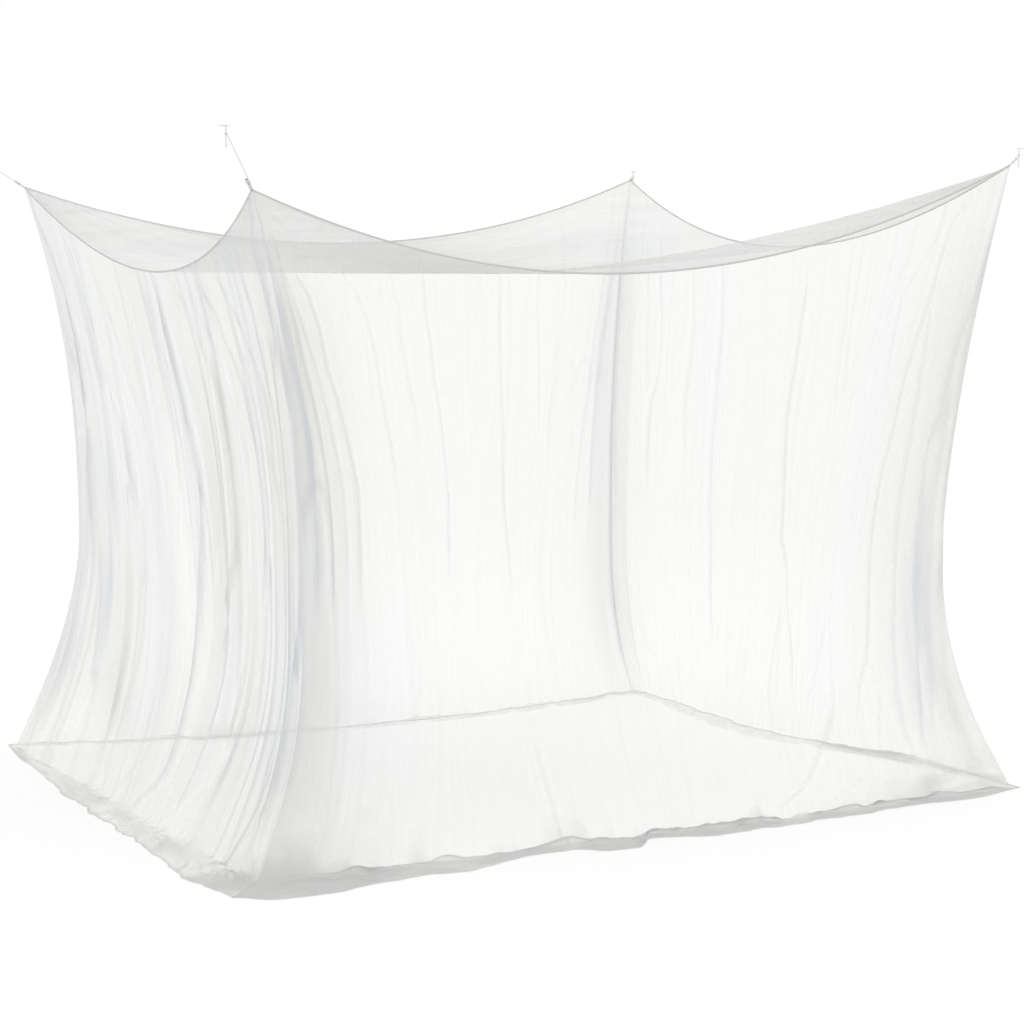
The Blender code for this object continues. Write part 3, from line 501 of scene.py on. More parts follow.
def add_creases(creases, length, drop, hanging, dense, cool):
    """Adds the listed creases to the net's density and coolness, and returns their depth."""
    depth = np.zeros(dense.shape)
    for crease in creases:
        down, across = np.array((crease.down, crease.across)) / 1000
        centre = np.interp(ROWS, down, across)
        slant = np.gradient(centre * length) / np.gradient(drop.mean(axis=1))
        # It fades and narrows towards its ends
        fade = smooth_step(down[0] - 0.07, down[0] + 0.03, ROWS)
        fade = (fade * (1 - smooth_step(down[-1] - 0.05, down[-1] + 0.07, ROWS)))[:, None]
        off = (PLACES - centre[:, None]) * length / np.sqrt(1 + slant[:, None] ** 2)
        off = off / (crease.width * (0.4 + 0.6 * fade))
        depth += crease.depth * fade * bump(off) * hanging
        # A dark line with a pale one beside it: denser cloth, greyed by painted shade, along the crease, and a
        # painted highlight of clearer cloth beside it
        pale = 0.3 if crease.width < PALE_UNDER else 0.1
        strength = fade * (np.exp(-(off * 1.6) ** 2) - pale * np.exp(-((off - 1.7) * 1.8) ** 2))
        dense += crease.dense * strength
        cool += crease.cool * strength
    return depth


def add_heaps(piles, length, drop, ragged, dense, cool):
    """Adds the heaps of gathered cloth to the net's density and coolness, and returns their height."""
    height = np.zeros(dense.shape)
    for pile in piles:
        row, column = np.searchsorted(ROWS, pile.down), round(pile.column * (COLUMNS - 1))
        off = np.hypot((drop - drop[row, column]) / pile.high, (PLACES - pile.column) * length / pile.wide)
        strength = 1 - smooth_step(0.2, 1.2, off + ragged)
        dense += pile.dense * strength * (0.85 + ragged)
        cool += (pile.cool - cool) * strength
        height += pile.lift * strength * (1 + ragged)
    return height


def wall_sheet(name):
    """A wall's points, row by row, how dense the net is at each and how cool its colour."""
    wall = WALLS[name]
    rng = np.random.default_rng(wall["seed"])
    _, _, length, _, outward = chord(wall)
    rows, hung, lying = (values[:, None] for values in (ROWS, HUNG, LYING))

    def patches(down, width, rng=rng):
        return smooth_noise(rng, ROWS / 2, PLACES, (down, int(length / width)))

    points, share, depth = wall_base(name)
    # Wrinkles start under the top edge and beside the seams, so that the panels meet at their corners
    from_seam = np.minimum(PLACES, 1 - PLACES) * length
    calm = smooth_step(0.0, SEAM_CALM, from_seam)
    hanging = smooth_step(0.0, 0.08, hung) * calm
    depth = depth * calm
    near_corner = np.exp(-from_seam / CORNER_REACH)
    settled = smooth_step(0.8, 1.0, hung)
    started = 0.25 + 0.75 * smooth_step(0.0, GATHER_GROWN, hung)
    dense = np.full(points.shape[:2], wall["density"])
    for away, gather in zip((PLACES, 1 - PLACES), wall["gathered"]):
        beside = np.exp(-(away * length / gather.reach) ** GATHER_POWER)
        dense += gather.dense * beside * started * (1 - 0.5 * settled)
    dense -= wall["clear"] * settled
    bands = patches(4, BAND_WIDTH, np.random.default_rng(wall["seed"] + 3)) * (1 - near_corner)
    dense += wall["broad"] * bands * (0.25 + 0.75 * smooth_step(0.1, 0.4, hung)) * (1 - 0.5 * settled)
    least = (PALEST + 0.4 * near_corner) * dense
    cool = wall["cool"] + 0.25 * smooth_step(0.15, 0.5, hung) * near_corner
    cool = cool + 0.20 * patches(5, TINT_WIDTH)
    cool += (FLOOR_COOL - cool) * settled
    # Long shallow wrinkles wherever a stretched noise passes through zero, closer together near the corners
    for fine in wall["fine"]:
        field = patches(int(3.4 / fine.long), fine.apart)
        fade = 0.55 + 0.45 * np.clip(patches(5, 2.5 * fine.apart), -1, 1)
        fade = fade * (wall["quiet"] + (1 - wall["quiet"]) * near_corner)
        slope = np.abs(np.gradient(field, PLACES * length, axis=1))
        off = field / (slope + 0.15 / fine.apart) / (fine.line * fine.apart)
        # Each wrinkle is a line of denser cloth, greyed by painted shade, with a painted highlight of clearer cloth
        # beside it
        shape = np.exp(-(off**2)) - 0.45 * np.exp(-((off - 2.2) ** 2))
        depth = depth + fine.depth * (field + 0.4 * shape) * fade * hanging
        dense += fine.dense * shape * fade * (0.7 + 0.3 * hanging)
    steps = np.linalg.norm(np.diff(points, axis=0), axis=2)
    drop = np.concatenate((np.zeros((1, COLUMNS)), np.cumsum(steps, axis=0)))
    depth = depth + add_creases(CREASES[name], length, drop, hanging, dense, cool)
    dense = np.maximum(dense, least)
    # On the floor: the long ruck with finer ones, the heaps and the swaying hem
    landed = 1 - smooth_step(0.0, LANDING, points[..., 2])
    ends = smooth_step(0.0, 0.05, share) * smooth_step(0.0, 0.05, 1 - share)
    wave = 0.6 + 0.4 * np.cos(share * length / RUCK_LENGTH * 2 * pi)
    fine_ruck = 0.5 * patches(14, RUCK_WIDTH)
    sway = np.zeros(COLUMNS)
    for wavelength, reach in HEM_SWAY:
        sway += reach * np.sin(PLACES * length / wavelength * 2 * pi + rng.uniform(0, 2 * pi))
    ragged = 0.30 * np.clip(patches(90, RAGGED_WIDTH), -1, 1)
    heap = add_heaps(PILES[name], length, drop, ragged, dense, cool)
    points = points + outward * (depth * (1 - landed) + sway * ends * lying**2)[..., None]
    points[..., 2] += np.maximum(heap, 0) * landed * ends * (1 - lying**4)
    points[..., 2] += np.maximum(depth, 0.0) * landed * FLOOR_RIDGE * (1 - lying)
    points[..., 2] += RUCK * (wave + np.clip(fine_ruck, -0.3, 0.6)) * ends * sin_squared(lying) + CLOTH_LIFT
    dense += wall["laid"] * smooth_step(0.972, 1.20, rows + 0.10 * fine_ruck) * (1 + 0.5 * fine_ruck)
    dense += wall["edge"] * smooth_step(0.90, 0.98, lying)
    dense += 0.06 * np.abs(fine_ruck) * smooth_step(0, 0.3, lying)
    # Where its folds turn away from the wall's own plane, the cloth has more threads to look through
    normal = np.cross(np.gradient(points, axis=1), np.gradient(points, axis=0))
    normal /= np.linalg.norm(normal, axis=2, keepdims=True) + 1e-12
    slope = np.clip(1 / np.maximum(np.abs(normal @ outward), STEEPEST) - 1, 0, 3)
    dense += np.where(rows <= 0.9, wall["turned"] * slope, 0.0)
    return points, np.clip(dense, 0, 1), np.clip(cool, 0, 1)


def corner_axes(corner):
    """Horizontal directions outward and sideways at a corner, and the way its loop and cord are pulled."""
    top = Vector(corner["top"])
    out = Vector((1 if top.x > 0 else -1, 1 if top.y > 0 else -1, 0)).normalized()
    side = Vector((-out.y, out.x, 0))
    angle = atan2(CEILING - TIE_DROP - top.z, corner["reach"])
    return top, out, side, out * cos(angle) + Vector((0, 0, sin(angle)))


def shift():
    """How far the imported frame's origin is from the source's own, in plan."""
    corner = CORNERS["front_left"]
    top, out, _, _ = corner_axes(corner)
    middle = Vector((top.x, top.y, 0)) + out * (corner["reach"] + PLATE_LENGTH / 2 - PLATE_BEHIND)
    low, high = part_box("hook_front_left")
    return Vector(((low[0] + high[0]) / 2 - middle.x, (low[1] + high[1]) / 2 - middle.y, 0))


SHIFT = shift()


def link(obj):
    """Puts an object into the scene."""
    bpy.context.scene.collection.objects.link(obj)
    return obj


def mesh_object(name, points, faces):
    """A smoothly shaded mesh from points in the source's own frame."""
    mesh = bpy.data.meshes.new(name)
    mesh.from_pydata((np.reshape(points, (-1, 3)) + np.array(SHIFT)).tolist(), [], faces)
    mesh.shade_smooth()
    return link(bpy.data.objects.new(name, mesh))


def grid_object(name, points, uv, **values):
    """A cloth mesh from rows of points, with its flat size as UVs in metres and each value as an attribute."""
    rows, columns = points.shape[:2]
    index = np.arange(rows * columns).reshape(rows, columns)
    faces = np.stack((index[:-1, :-1], index[1:, :-1], index[1:, 1:], index[:-1, 1:]), axis=-1).reshape(-1, 4)
    obj = mesh_object(name, points, faces.tolist())
    layer = obj.data.uv_layers.new(name="cloth")
    layer.data.foreach_set("uv", uv.reshape(-1, 2)[faces.reshape(-1)].astype(np.float32).ravel())
    for key, value in values.items():
        made = obj.data.attributes.new(key, "FLOAT", "POINT")
        made.data.foreach_set("value", value.reshape(-1).astype(np.float32))
    return obj


def flat_uv(points):
    """Distances along the cloth, across and down, at each of its points, and the most of each."""
    across = np.linalg.norm(np.diff(points, axis=1), axis=2).mean(axis=0)
    down = np.linalg.norm(np.diff(points, axis=0), axis=2).mean(axis=1)
    u = np.concatenate(((0.0,), np.cumsum(across)))
    v = np.concatenate(((0.0,), np.cumsum(down)))
    return np.stack(np.broadcast_arrays(u[None, :], -v[:, None]), axis=-1), u[-1], v[-1]


def sweep_parts(path, outline, up, aside):
    """Points and faces of an outline carried along a path; up and aside are the outline's axes there."""
    path = np.asarray(path, float)
    up, aside = (np.broadcast_to(np.asarray(axis, float), path.shape) for axis in (up, aside))
    points = np.stack([path + aside * x + up * y for x, y in outline], axis=1)
    steps, sides = points.shape[:2]
    index = np.arange(steps * sides).reshape(steps, sides)
    beside = np.roll(index, -1, axis=1)
    quads = np.stack((index[:-1], beside[:-1], beside[1:], index[1:]), axis=-1).reshape(-1, 4).tolist()
    return points.reshape(-1, 3), quads + [index[0, ::-1].tolist(), index[-1].tolist()]


def joined(parts):
    """Several pieces' points and faces as one."""
    points, faces, start = [], [], 0
    for some, shapes in parts:
        points.append(some)
        faces += [[start + k for k in shape] for shape in shapes]
        start += len(some)
    return np.concatenate(points), faces


def unit(vectors):
    """Vectors, one a row, made one metre long."""
    return vectors / np.linalg.norm(vectors, axis=1, keepdims=True)


def box_outline(wide, high, round_by):
    """A rectangle with cut corners, as an outline."""
    x, y = wide / 2, high / 2
    return [(x, -y + round_by), (x, y - round_by), (x - round_by, y), (-x + round_by, y),
            (-x, y - round_by), (-x, -y + round_by), (-x + round_by, -y), (x - round_by, -y)]


def ring_outline(wide, high, sides):
    """An ellipse as an outline."""
    return [(wide * cos(2 * pi * k / sides), high * sin(2 * pi * k / sides)) for k in range(sides)]


def along_path(path, spacing):
    """Points and unit directions at an even spacing along a path."""
    steps = np.linalg.norm(np.diff(path, axis=0), axis=1)
    gone = np.concatenate(((0.0,), np.cumsum(steps)))
    places = np.arange(spacing / 2, gone[-1], spacing)
    found = np.stack([np.interp(places, gone, path[:, k]) for k in range(3)], axis=1)
    ahead = np.stack([np.interp(places + 1e-4, gone, path[:, k]) for k in range(3)], axis=1) - found
    return found, ahead / (np.linalg.norm(ahead, axis=1, keepdims=True) + 1e-12)


def stitches(path, aside, up, offset, spacing=STITCH_STEP):
    """A row of short raised threads along a path, beside it by an offset across and up."""
    found, ahead = along_path(path, spacing)
    made = []
    for place, along in zip(found, ahead):
        centre = place + aside * offset[0] + up * offset[1]
        ends = [centre - along * STITCH_LONG / 2, centre, centre + along * STITCH_LONG / 2]
        wide = [0.35, 1.0, 0.35]
        points = [end + (aside * x + up * y) * STITCH_WIDE * w
                  for end, w in zip(ends, wide) for x, y in ((1, 0), (0, 1), (-1, 0), (0, -1))]
        faces = [[4 * k + s, 4 * k + (s + 1) % 4, 4 * k + 4 + (s + 1) % 4, 4 * k + 4 + s]
                 for k in (0, 1) for s in range(4)]
        made.append((np.array(points), faces + [[3, 2, 1, 0], [8, 9, 10, 11]]))
    return made


def binding_piece(name):
    """The tape folded over the seam along one top edge, with its two rows of stitches."""
    wall = WALLS[name]
    rng = np.random.default_rng(wall["seed"] + 5)
    _, _, length, _, outward = chord(wall)
    share = np.linspace(BINDING_SHORT / length, 1 - BINDING_SHORT / length, 520)
    path = edge_point(wall, share)
    up = np.array((0.0, 0.0, 1.0))
    path = path + outward * (0.0006 * smooth_noise(rng, np.zeros(1), share, (1, 90))[0])[:, None]
    tape = sweep_parts(path, box_outline(TAPE_THICK, TAPE_HIGH, 0.0006), up, outward)
    rows = [row for face in (TAPE_THICK / 2, -TAPE_THICK / 2)
            for row in stitches(path, outward, up, (face, -STITCH_LOW))]
    return mesh_object("tape_" + name, *joined([tape, *rows]))


def hem_piece(name, points):
    """The narrow rolled hem along a wall's lower edge."""
    outward = chord(WALLS[name])[4]
    path = points[-1].copy()
    path[:, 2] = HEM_ROLL
    roll = sweep_parts(path[::2], ring_outline(HEM_ROLL, HEM_ROLL, 6), (0, 0, 1), outward)
    return mesh_object("hem_" + name, *roll)


def seam_piece(corner, before, after):
    """The sewn seam down one corner, between the last column of one wall and the first of the next."""
    path = (before[:, -1] + after[:, 0]) / 2
    out = np.array(corner_axes(CORNERS[corner])[1])
    side = np.array((-out[1], out[0], 0.0))
    return mesh_object("seam_" + corner, *sweep_parts(path, ring_outline(*SEAM_SIZE, 8), out, side))


def loop_piece(name):
    """The doubled tape loop of one corner, with the bar of stitches across its tail."""
    corner = CORNERS[name]
    top, _, side, pull = corner_axes(corner)
    over = side.cross(pull)
    eye = corner["loop"] - (LOOP_EYE + LOOP_TAPE)
    middle = LOOP_EYE + LOOP_TAPE / 2
    flat = np.linspace(0, eye * LOOP_TAIL, 6)
    line = [(x, LOOP_TAPE / 2 + 0.0001) for x in flat]
    turn = np.linspace(pi - LOOP_NECK, -pi + LOOP_NECK, 33)
    line += [(eye + middle * cos(a), middle * sin(a)) for a in turn]
    line += [(x, -LOOP_TAPE / 2 - 0.0001) for x in flat[::-1]]
    line = np.array(line)
    path = np.array(top) + np.outer(line[:, 0] - LOOP_BACK, pull) + np.outer(line[:, 1], over)
    ahead = unit(np.gradient(path, axis=0))
    across = np.array(side)
    tape = sweep_parts(path, box_outline(LOOP_TAPE * 0.92, LOOP_WIDTH, 0.0003), across, np.cross(ahead, across))
    rows = []
    for back in (0.0035, 0.0065):
        start = np.array(top) + np.array(pull) * back
        bar = start + np.outer(np.linspace(-BAR_REACH, BAR_REACH, 20), across)
        for face in (1, -1):
            rows += stitches(bar, np.array(pull), np.array(over), (0, face * LOOP_TAPE * 0.98), BAR_STEP)
    return mesh_object("loop_tape_" + name, *joined([tape, *rows]))


def knot_piece(name, route):
    """The cord's knot beyond the loop's eye: a few turns wound round both its parts."""
    _, _, side, pull = corner_axes(CORNERS[name])
    start = Vector(route[0]) - SHIFT
    points = []
    for k in range(KNOT_TURNS * KNOT_SIDES + 1):
        angle = 2 * pi * k / KNOT_SIDES
        swell = 1.0 + 0.25 * sin(pi * k / (KNOT_TURNS * KNOT_SIDES))
        around = side * (cos(angle) * KNOT_WIDE * swell) + side.cross(pull) * (sin(angle) * KNOT_HIGH * swell)
        points.append(np.array(start + side * 0.0075 + pull * (0.0035 + 0.0026 * k / KNOT_SIDES) + around))
    path = np.array(points)
    heading = unit(np.gradient(path, axis=0))
    outward = unit(np.cross(heading, np.array(pull)))
    turns = sweep_parts(path, ring_outline(KNOT_CORD, KNOT_CORD, 8), np.cross(heading, outward), outward)
    return mesh_object("knot_" + name, *turns)


def roof_rim(x, y):
    """The roof's rim in the direction of points on the edge of a square from -1 to 1."""
    out = np.zeros((*x.shape, 3))
    front_back = np.abs(y) >= np.abs(x)
    for name, chosen, share in (
        ("front", front_back & (y < 0), (1 + x) / 2), ("back", front_back & (y >= 0), (1 - x) / 2),
        ("left", ~front_back & (x < 0), (1 - y) / 2), ("right", ~front_back & (x >= 0), (1 + y) / 2),
    ):
        wall = WALLS[name]
        _, _, _, along, outward = chord(wall)
        found = edge_point(wall, share) + ROOF_INSET * (along * (1 - 2 * share)[..., None] - outward)
        out[chosen] = found[chosen]
    return out


def roof_sheet():
    """The top panel's points, density and coolness: wrinkles run along it and fan out from its corners."""
    line = np.linspace(-1, 1, ROOF_STEPS + 1)
    x, y = np.meshgrid(line, line)
    ring = np.maximum(np.abs(x), np.abs(y))
    safe = np.where(ring == 0, 1, ring)
    rim = roof_rim(x / safe, y / safe)
    points = ROOF_CENTRE + (rim - ROOF_CENTRE) * ring[..., None]
    points[..., 2] = ROOF_CENTRE[2] + (rim[..., 2] - ROOF_CENTRE[2]) * ring**ROOF_RISE
    for _ in range(ROOF_SMOOTHED):
        z = points[..., 2]
        points[1:-1, 1:-1, 2] = (z[:-2, 1:-1] + z[2:, 1:-1] + z[1:-1, :-2] + z[1:-1, 2:]) / 4
    rng = np.random.default_rng(71)
    spots = np.linspace(0, 1, 401)
    density = np.full(ring.shape, ROOF_DENSITY) + 0.10 * ring**10
    height = np.zeros(ring.shape)
    for cells, slant, strength in (((44, 4), 0.10, 0.10), ((80, 6), -0.06, 0.07)):
        field = sampled(smooth_noise(rng, spots, spots, cells), (y + slant * x * x + 1.1) / 2.3, (x + 1) / 2)
        density += strength * np.exp(-(field / 0.35) ** 2)
        height += ROOF_WRINKLE * field
    # The sagging middle, the clearer back right corner and the ridge towards the left
    density += ROOF_BELLY * np.exp(-((x + 0.15) / 0.45) ** 2) - 0.16 * smooth_step(0.9, 1.8, x + y)
    density += 0.16 * np.exp(-((y + 0.05) / 0.07) ** 2) * (1 - smooth_step(-0.1, 0.3, x))
    for corner_x, corner_y, drawn in ((-1, -1, 0.6), (1, -1, 1.0), (1, 1, 0.1), (-1, 1, 1.0)):
        away = np.hypot(x - corner_x, y - corner_y)
        angle = np.arctan2(np.abs(y - corner_y), np.abs(x - corner_x)) / (pi / 2)
        field = sampled(smooth_noise(rng, spots, spots, (3, 34)), np.clip(away / 2.9, 0, 1), angle)
        near = np.exp(-away / 0.45)
        density += drawn * (0.24 * np.exp(-(field / 0.40) ** 2) + 0.12) * near
        height += 0.003 * field * near * np.minimum(away / 0.2, 1)
    points[..., 2] += height * (1 - ring**12)
    cool = 0.25 + 0.2 * sampled(smooth_noise(rng, spots, spots, (6, 6)), (y + 1) / 2, (x + 1) / 2)
    return points, np.clip(density, 0, 1), np.clip(cool, 0, 1)


def node_material(name):
    """A new material, its node tree and its shader."""
    made = bpy.data.materials.new(name)
    made.use_nodes = True
    return made, made.node_tree, made.node_tree.nodes["Principled BSDF"]


def add(tree, kind, inputs=(), **settings):
    """A new node with its settings, and its inputs by name or number, each a value or another node's output."""
    node = tree.nodes.new(kind)
    for key, value in settings.items():
        setattr(node, key, value)
    for key, value in dict(inputs).items():
        if isinstance(value, bpy.types.NodeSocket):
            tree.links.new(value, node.inputs[key])
        else:
            node.inputs[key].default_value = value
    return node


def calc(tree, operation, *values, clamp=False):
    """The result of a math node."""
    return add(tree, "ShaderNodeMath", dict(enumerate(values)), operation=operation, use_clamp=clamp).outputs[0]


def scaled(tree, value, factor, less=0.0):
    """A value, less some amount, times a factor."""
    if less:
        value = calc(tree, "SUBTRACT", value, less)
    return calc(tree, "MULTIPLY", value, factor)


def set_surface(tree, shader, colour, relief, strength, depth, **values):
    """Links a material's colour and bump, and sets the plain values of its shader by their names."""
    tree.links.new(colour, shader.inputs["Base Color"])
    raised = add(tree, "ShaderNodeBump", {"Strength": strength, "Distance": depth, "Height": relief})
    tree.links.new(raised.outputs[0], shader.inputs["Normal"])
    for name, value in values.items():
        shader.inputs[name.replace("_", " ")].default_value = value


def ranged(tree, value, low, high):
    """A value from 0 to 1 turned into one from low to high."""
    return add(tree, "ShaderNodeMapRange", {0: value, 3: low, 4: high}).outputs[0]


def mixed(tree, factor, first, second):
    """A colour between two, each three numbers or another node's output."""
    ends = [end if isinstance(end, bpy.types.NodeSocket) else (*end, 1) for end in (first, second)]
    return add(tree, "ShaderNodeMix", {0: factor, 6: ends[0], 7: ends[1]}, data_type="RGBA").outputs[2]


def noise(tree, place, scale, detail, stretch=None):
    """A noise from 0 to 1, stretched along an axis where its scale there is smaller."""
    if stretch:
        place = add(tree, "ShaderNodeMapping", {"Vector": place, "Scale": stretch}).outputs[0]
    return add(tree, "ShaderNodeTexNoise", {"Vector": place, "Scale": scale, "Detail": detail}).outputs[0]


def net_material():
    """Fine white mesh: threads with holes between, denser where it is gathered, and greyer there by painted shade."""
    made, tree, shader = node_material("net")
    place = add(tree, "ShaderNodeUVMap", uv_map="cloth").outputs[0]
    axes = add(tree, "ShaderNodeSeparateXYZ", {0: place})
    u, v = axes.outputs[0], axes.outputs[1]

    def thread(tilt_u, tilt_v):
        along = calc(tree, "ADD", scaled(tree, u, tilt_u / MESH_PITCH), scaled(tree, v, tilt_v / MESH_PITCH))
        wave = calc(tree, "ABSOLUTE", calc(tree, "SUBTRACT", calc(tree, "FRACT", along), 0.5))
        return calc(tree, "SUBTRACT", 1.0, scaled(tree, wave, 4.0), clamp=True)

    weave = calc(tree, "MAXIMUM", thread(0.866, -0.5), thread(0.0, 1.0))
    weave = calc(tree, "MAXIMUM", thread(0.866, 0.5), weave)
    # gather, the net's density: it sets how much the threads cover, and through painted shade how grey they are
    gather = add(tree, "ShaderNodeAttribute", attribute_name="gather").outputs["Fac"]
    cool = add(tree, "ShaderNodeAttribute", attribute_name="cool").outputs["Fac"]
    cloud = scaled(tree, noise(tree, place, 9.0, 4.0), 0.10, less=0.5)
    streak = scaled(tree, noise(tree, place, 1.0, 3.0, (110.0, 2.2, 1.0)), 0.22, less=0.5)
    uneven = calc(tree, "MULTIPLY", calc(tree, "ADD", cloud, streak), calc(tree, "ADD", gather, 0.25))
    dense = calc(tree, "ADD", gather, uneven, clamp=True)
    cover = ranged(tree, dense, COVER_LEAST, COVER_MOST)
    cover = calc(tree, "MULTIPLY", cover, ranged(tree, weave, 0.62, 1.38), clamp=True)
    tree.links.new(cover, shader.inputs["Alpha"])
    tint = scaled(tree, noise(tree, place, 1.0, 2.0, (6.0, 0.5, 1.0)), 0.8, less=0.5)
    tone = calc(tree, "ADD", cool, tint, clamp=True)
    pale, painted_shade = mixed(tree, tone, PALE_WARM, PALE_COOL), mixed(tree, tone, PAINTED_SHADE_WARM, PAINTED_SHADE_COOL)
    # Painted shade: the denser the net, the nearer its colour comes to the shaded greys
    colour = mixed(tree, dense, pale, painted_shade)
    set_surface(tree, shader, colour, weave, 0.25, 0.0004, Roughness=0.8, Sheen_Weight=0.15, Specular_IOR_Level=0.2)
    return made


def tape_material(name, colour, dark):
    """Narrow woven tape: a fine twill across it, slightly uneven."""
    made, tree, shader = node_material(name)
    place = add(tree, "ShaderNodeNewGeometry").outputs["Position"]
    twill = add(tree, "ShaderNodeTexWave", {"Vector": place, "Scale": 240.0, "Distortion": 1.0}).outputs[1]
    rough = calc(tree, "ADD", scaled(tree, noise(tree, place, 300.0, 3.0), 0.5), scaled(tree, twill, 0.5))
    worn = scaled(tree, noise(tree, place, 7.0, 4.0), 0.4)
    tone = mixed(tree, calc(tree, "ADD", scaled(tree, rough, 0.6), worn), dark, colour)
    set_surface(tree, shader, tone, rough, 0.4, 0.0003, Roughness=0.85, Sheen_Weight=0.2, Specular_IOR_Level=0.2)
    return made


def metal_material():
    """White painted metal with a faint orange peel and slightly worn paint."""
    made, tree, shader = node_material("painted_hook")
    place = add(tree, "ShaderNodeNewGeometry").outputs["Position"]
    peel = noise(tree, place, 900.0, 2.0)
    paint = mixed(tree, noise(tree, place, 160.0, 4.0), (0.70, 0.71, 0.72), (0.82, 0.83, 0.84))
    tree.links.new(ranged(tree, peel, 0.32, 0.5), shader.inputs["Roughness"])
    set_surface(tree, shader, paint, peel, 0.15, 0.0002)
    return made


def floor_material():
    """A plain pale floor that glows, more near the net, where the extra glow is painted light that lifts the net's
    shade.
    """
    made, tree, shader = node_material("pale_floor")
    shader.inputs["Base Color"].default_value = (0.9, 0.9, 0.9, 1)
    shader.inputs["Roughness"].default_value = 1.0
    shader.inputs["Specular IOR Level"].default_value = 0.0
    shader.inputs["Emission Color"].default_value = (1, 1, 1, 1)
    place = add(tree, "ShaderNodeNewGeometry").outputs["Position"]
    # Painted light: the floor glows more near the net, to lift the shade that the net casts there
    away = add(tree, "ShaderNodeVectorMath", {0: place}, operation="LENGTH").outputs["Value"]
    glow = add(tree, "ShaderNodeMapRange", {0: away, **dict(enumerate(GLOW_REACH + FLOOR_GLOW, 1))})
    tree.links.new(glow.outputs[0], shader.inputs["Emission Strength"])
    return made


def smooth_route(route, step):
    """Points at about an even step along a smooth curve through a route's own points."""
    padded = [2 * route[0] - route[1], *route, 2 * route[-1] - route[-2]]
    points = [route[0]]
    for before, start, end, after in zip(padded, padded[1:], padded[2:], padded[3:]):
        parts = max(1, round((end - start).length / step))
        for k in range(1, parts + 1):
            t = k / parts
            bend = (end - before) * t + (2 * before - 5 * start + 4 * end - after) * t**2
            bend += (3 * start - before - 3 * end + after) * t**3
            points.append(start + bend / 2)
    return points


def cord_route(corner):
    """A cord's path: through the loop's eye, straight to the hook's leg, and round it."""
    top, out, side, pull = corner_axes(corner)
    eye = top + pull * (corner["loop"] - LOOP_EYE - LOOP_TAPE - LOOP_BACK)
    tie = top + out * corner["reach"]
    tie.z = CEILING - TIE_DROP
    route = smooth_route([eye + pull * turn.ahead + side * turn.beside for turn in EYE_TURN], CORD_TURN_STEP)
    start = tie + side * WRAP_RADIUS
    steps = max(1, round((start - route[-1]).length / CORD_STEP))
    route += [route[-1].lerp(start, (k + 1) / steps) for k in range(steps)]
    corners = ceil(WRAP_TURNS * 2 * pi * WRAP_RADIUS / CORD_TURN_STEP)
    for k in range(1, corners + 1):
        turned = WRAP_TURNS * k / corners
        around = side * cos(2 * pi * turned) + out * sin(2 * pi * turned)
        route.append(tie + around * WRAP_RADIUS + Vector((0, 0, WRAP_PITCH * turned)))
    return [point + SHIFT for point in route]


def dress(obj, surface, slot, *nodes):
    """Gives a piece its material, hides the nodes that it stands for and lets it ride the body. Its slot is not used.
    """
    obj.data.materials.clear()
    obj.data.materials.append(surface)
    if nodes:
        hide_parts(*nodes)
    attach(obj, "root")
    return obj


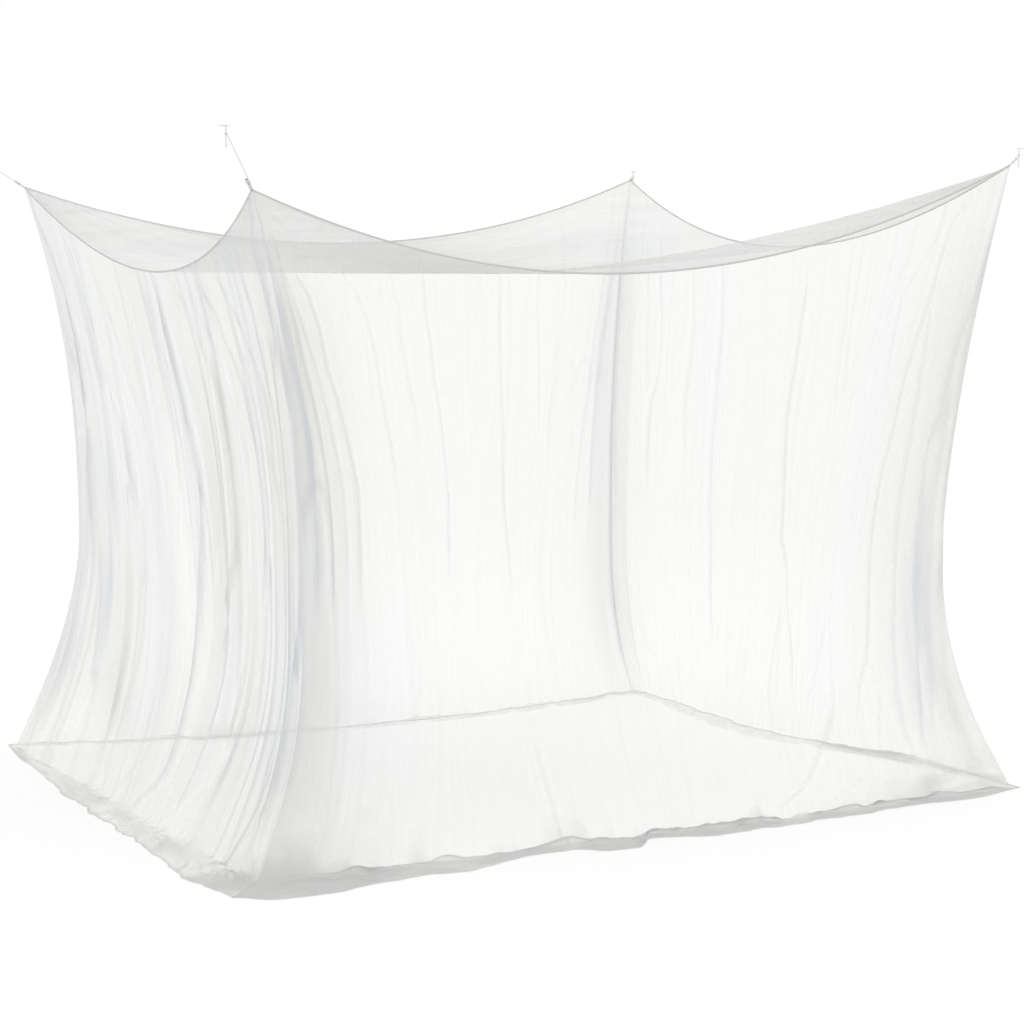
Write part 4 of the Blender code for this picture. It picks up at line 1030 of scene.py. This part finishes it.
def set_stage():
    """The camera at the photo's angle, an even white light and a plain pale floor."""
    scene = bpy.context.scene
    scene.view_settings.view_transform = "Standard"
    scene.cycles.transparent_max_bounces = 32

    lens = bpy.data.cameras.new("camera")
    lens.sensor_width = SENSOR
    lens.lens = FOCUS * SENSOR / FRAME
    camera = link(bpy.data.objects.new("camera", lens))
    camera.location = Vector(CAMERA_PLACE) + SHIFT
    camera.rotation_euler = [radians(angle) for angle in CAMERA_TURN]
    scene.camera = camera

    world = bpy.data.worlds.new("studio")
    world.use_nodes = True
    world.node_tree.nodes["Background"].inputs["Color"].default_value = (1, 1, 1, 1)
    world.node_tree.nodes["Background"].inputs["Strength"].default_value = 1.0
    scene.world = world

    bpy.ops.mesh.primitive_plane_add(size=FLOOR_SIZE, location=(0, 0, 0))
    floor = bpy.context.object
    floor.name = "floor"
    floor.data.materials.append(floor_material())


def tie_corner(name, braid, tape):
    """One corner's cord with its knot, and the tape loop that it runs through."""
    route = cord_route(CORNERS[name])
    curve = bpy.data.curves.new("cord_line_" + name, "CURVE")
    curve.dimensions = "3D"
    curve.bevel_depth = CORD_RADIUS
    curve.bevel_resolution = 4
    curve.use_fill_caps = True
    spline = curve.splines.new("POLY")
    spline.points.add(len(route) - 1)
    for point, place in zip(spline.points, route):
        point.co = (*place, 1)
    cord = dress(link(bpy.data.objects.new("cord_line_" + name, curve)), braid, "cord", "cord_" + name)
    knot = dress(knot_piece(name, route), braid, "cord")
    dress(loop_piece(name), tape, "tape", "loop_" + name)


def net_sheet(name, made, node, net):
    """The visible sheet of one net panel, and how wide and long it is when laid flat."""
    points, dense, cool = made
    uv, width, drop = flat_uv(points)
    sheet = grid_object(name, points, uv, gather=dense, cool=cool)
    return dress(sheet, net, "net", node), width, drop


def main():
    """Builds the stage and every piece."""
    set_stage()
    tape = tape_material("woven_tape", (0.66, 0.66, 0.64), (0.50, 0.50, 0.485))
    hem = tape_material("rolled_hem", (0.78, 0.78, 0.76), (0.64, 0.64, 0.625))
    braid = tape_material("braided_cord", (0.74, 0.745, 0.75), (0.60, 0.605, 0.61))
    for name in CORNERS:
        tie_corner(name, braid, tape)

    net = net_material()
    walls = {name: wall_sheet(name) for name in WALLS}
    for name, made in walls.items():
        sheet, width, drop = net_sheet("net_wall_" + name, made, "wall_" + name, net)
        corner = WALLS[name]["ends"][1]
        following = next(other for other in WALLS if WALLS[other]["ends"][0] == corner)
        trims = [
            dress(binding_piece(name), tape, "binding", "binding_" + name),
            dress(hem_piece(name, made[0]), hem, "binding"),
            dress(seam_piece(corner, made[0], walls[following][0]), hem, "binding"),
        ]
    sheet, width, drop = net_sheet("net_roof", roof_sheet(), "roof", net)

    paint = metal_material()
    for name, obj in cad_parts.items():
        if name.startswith("hook"):
            obj.data.materials.clear()
            obj.data.materials.append(paint)


main()
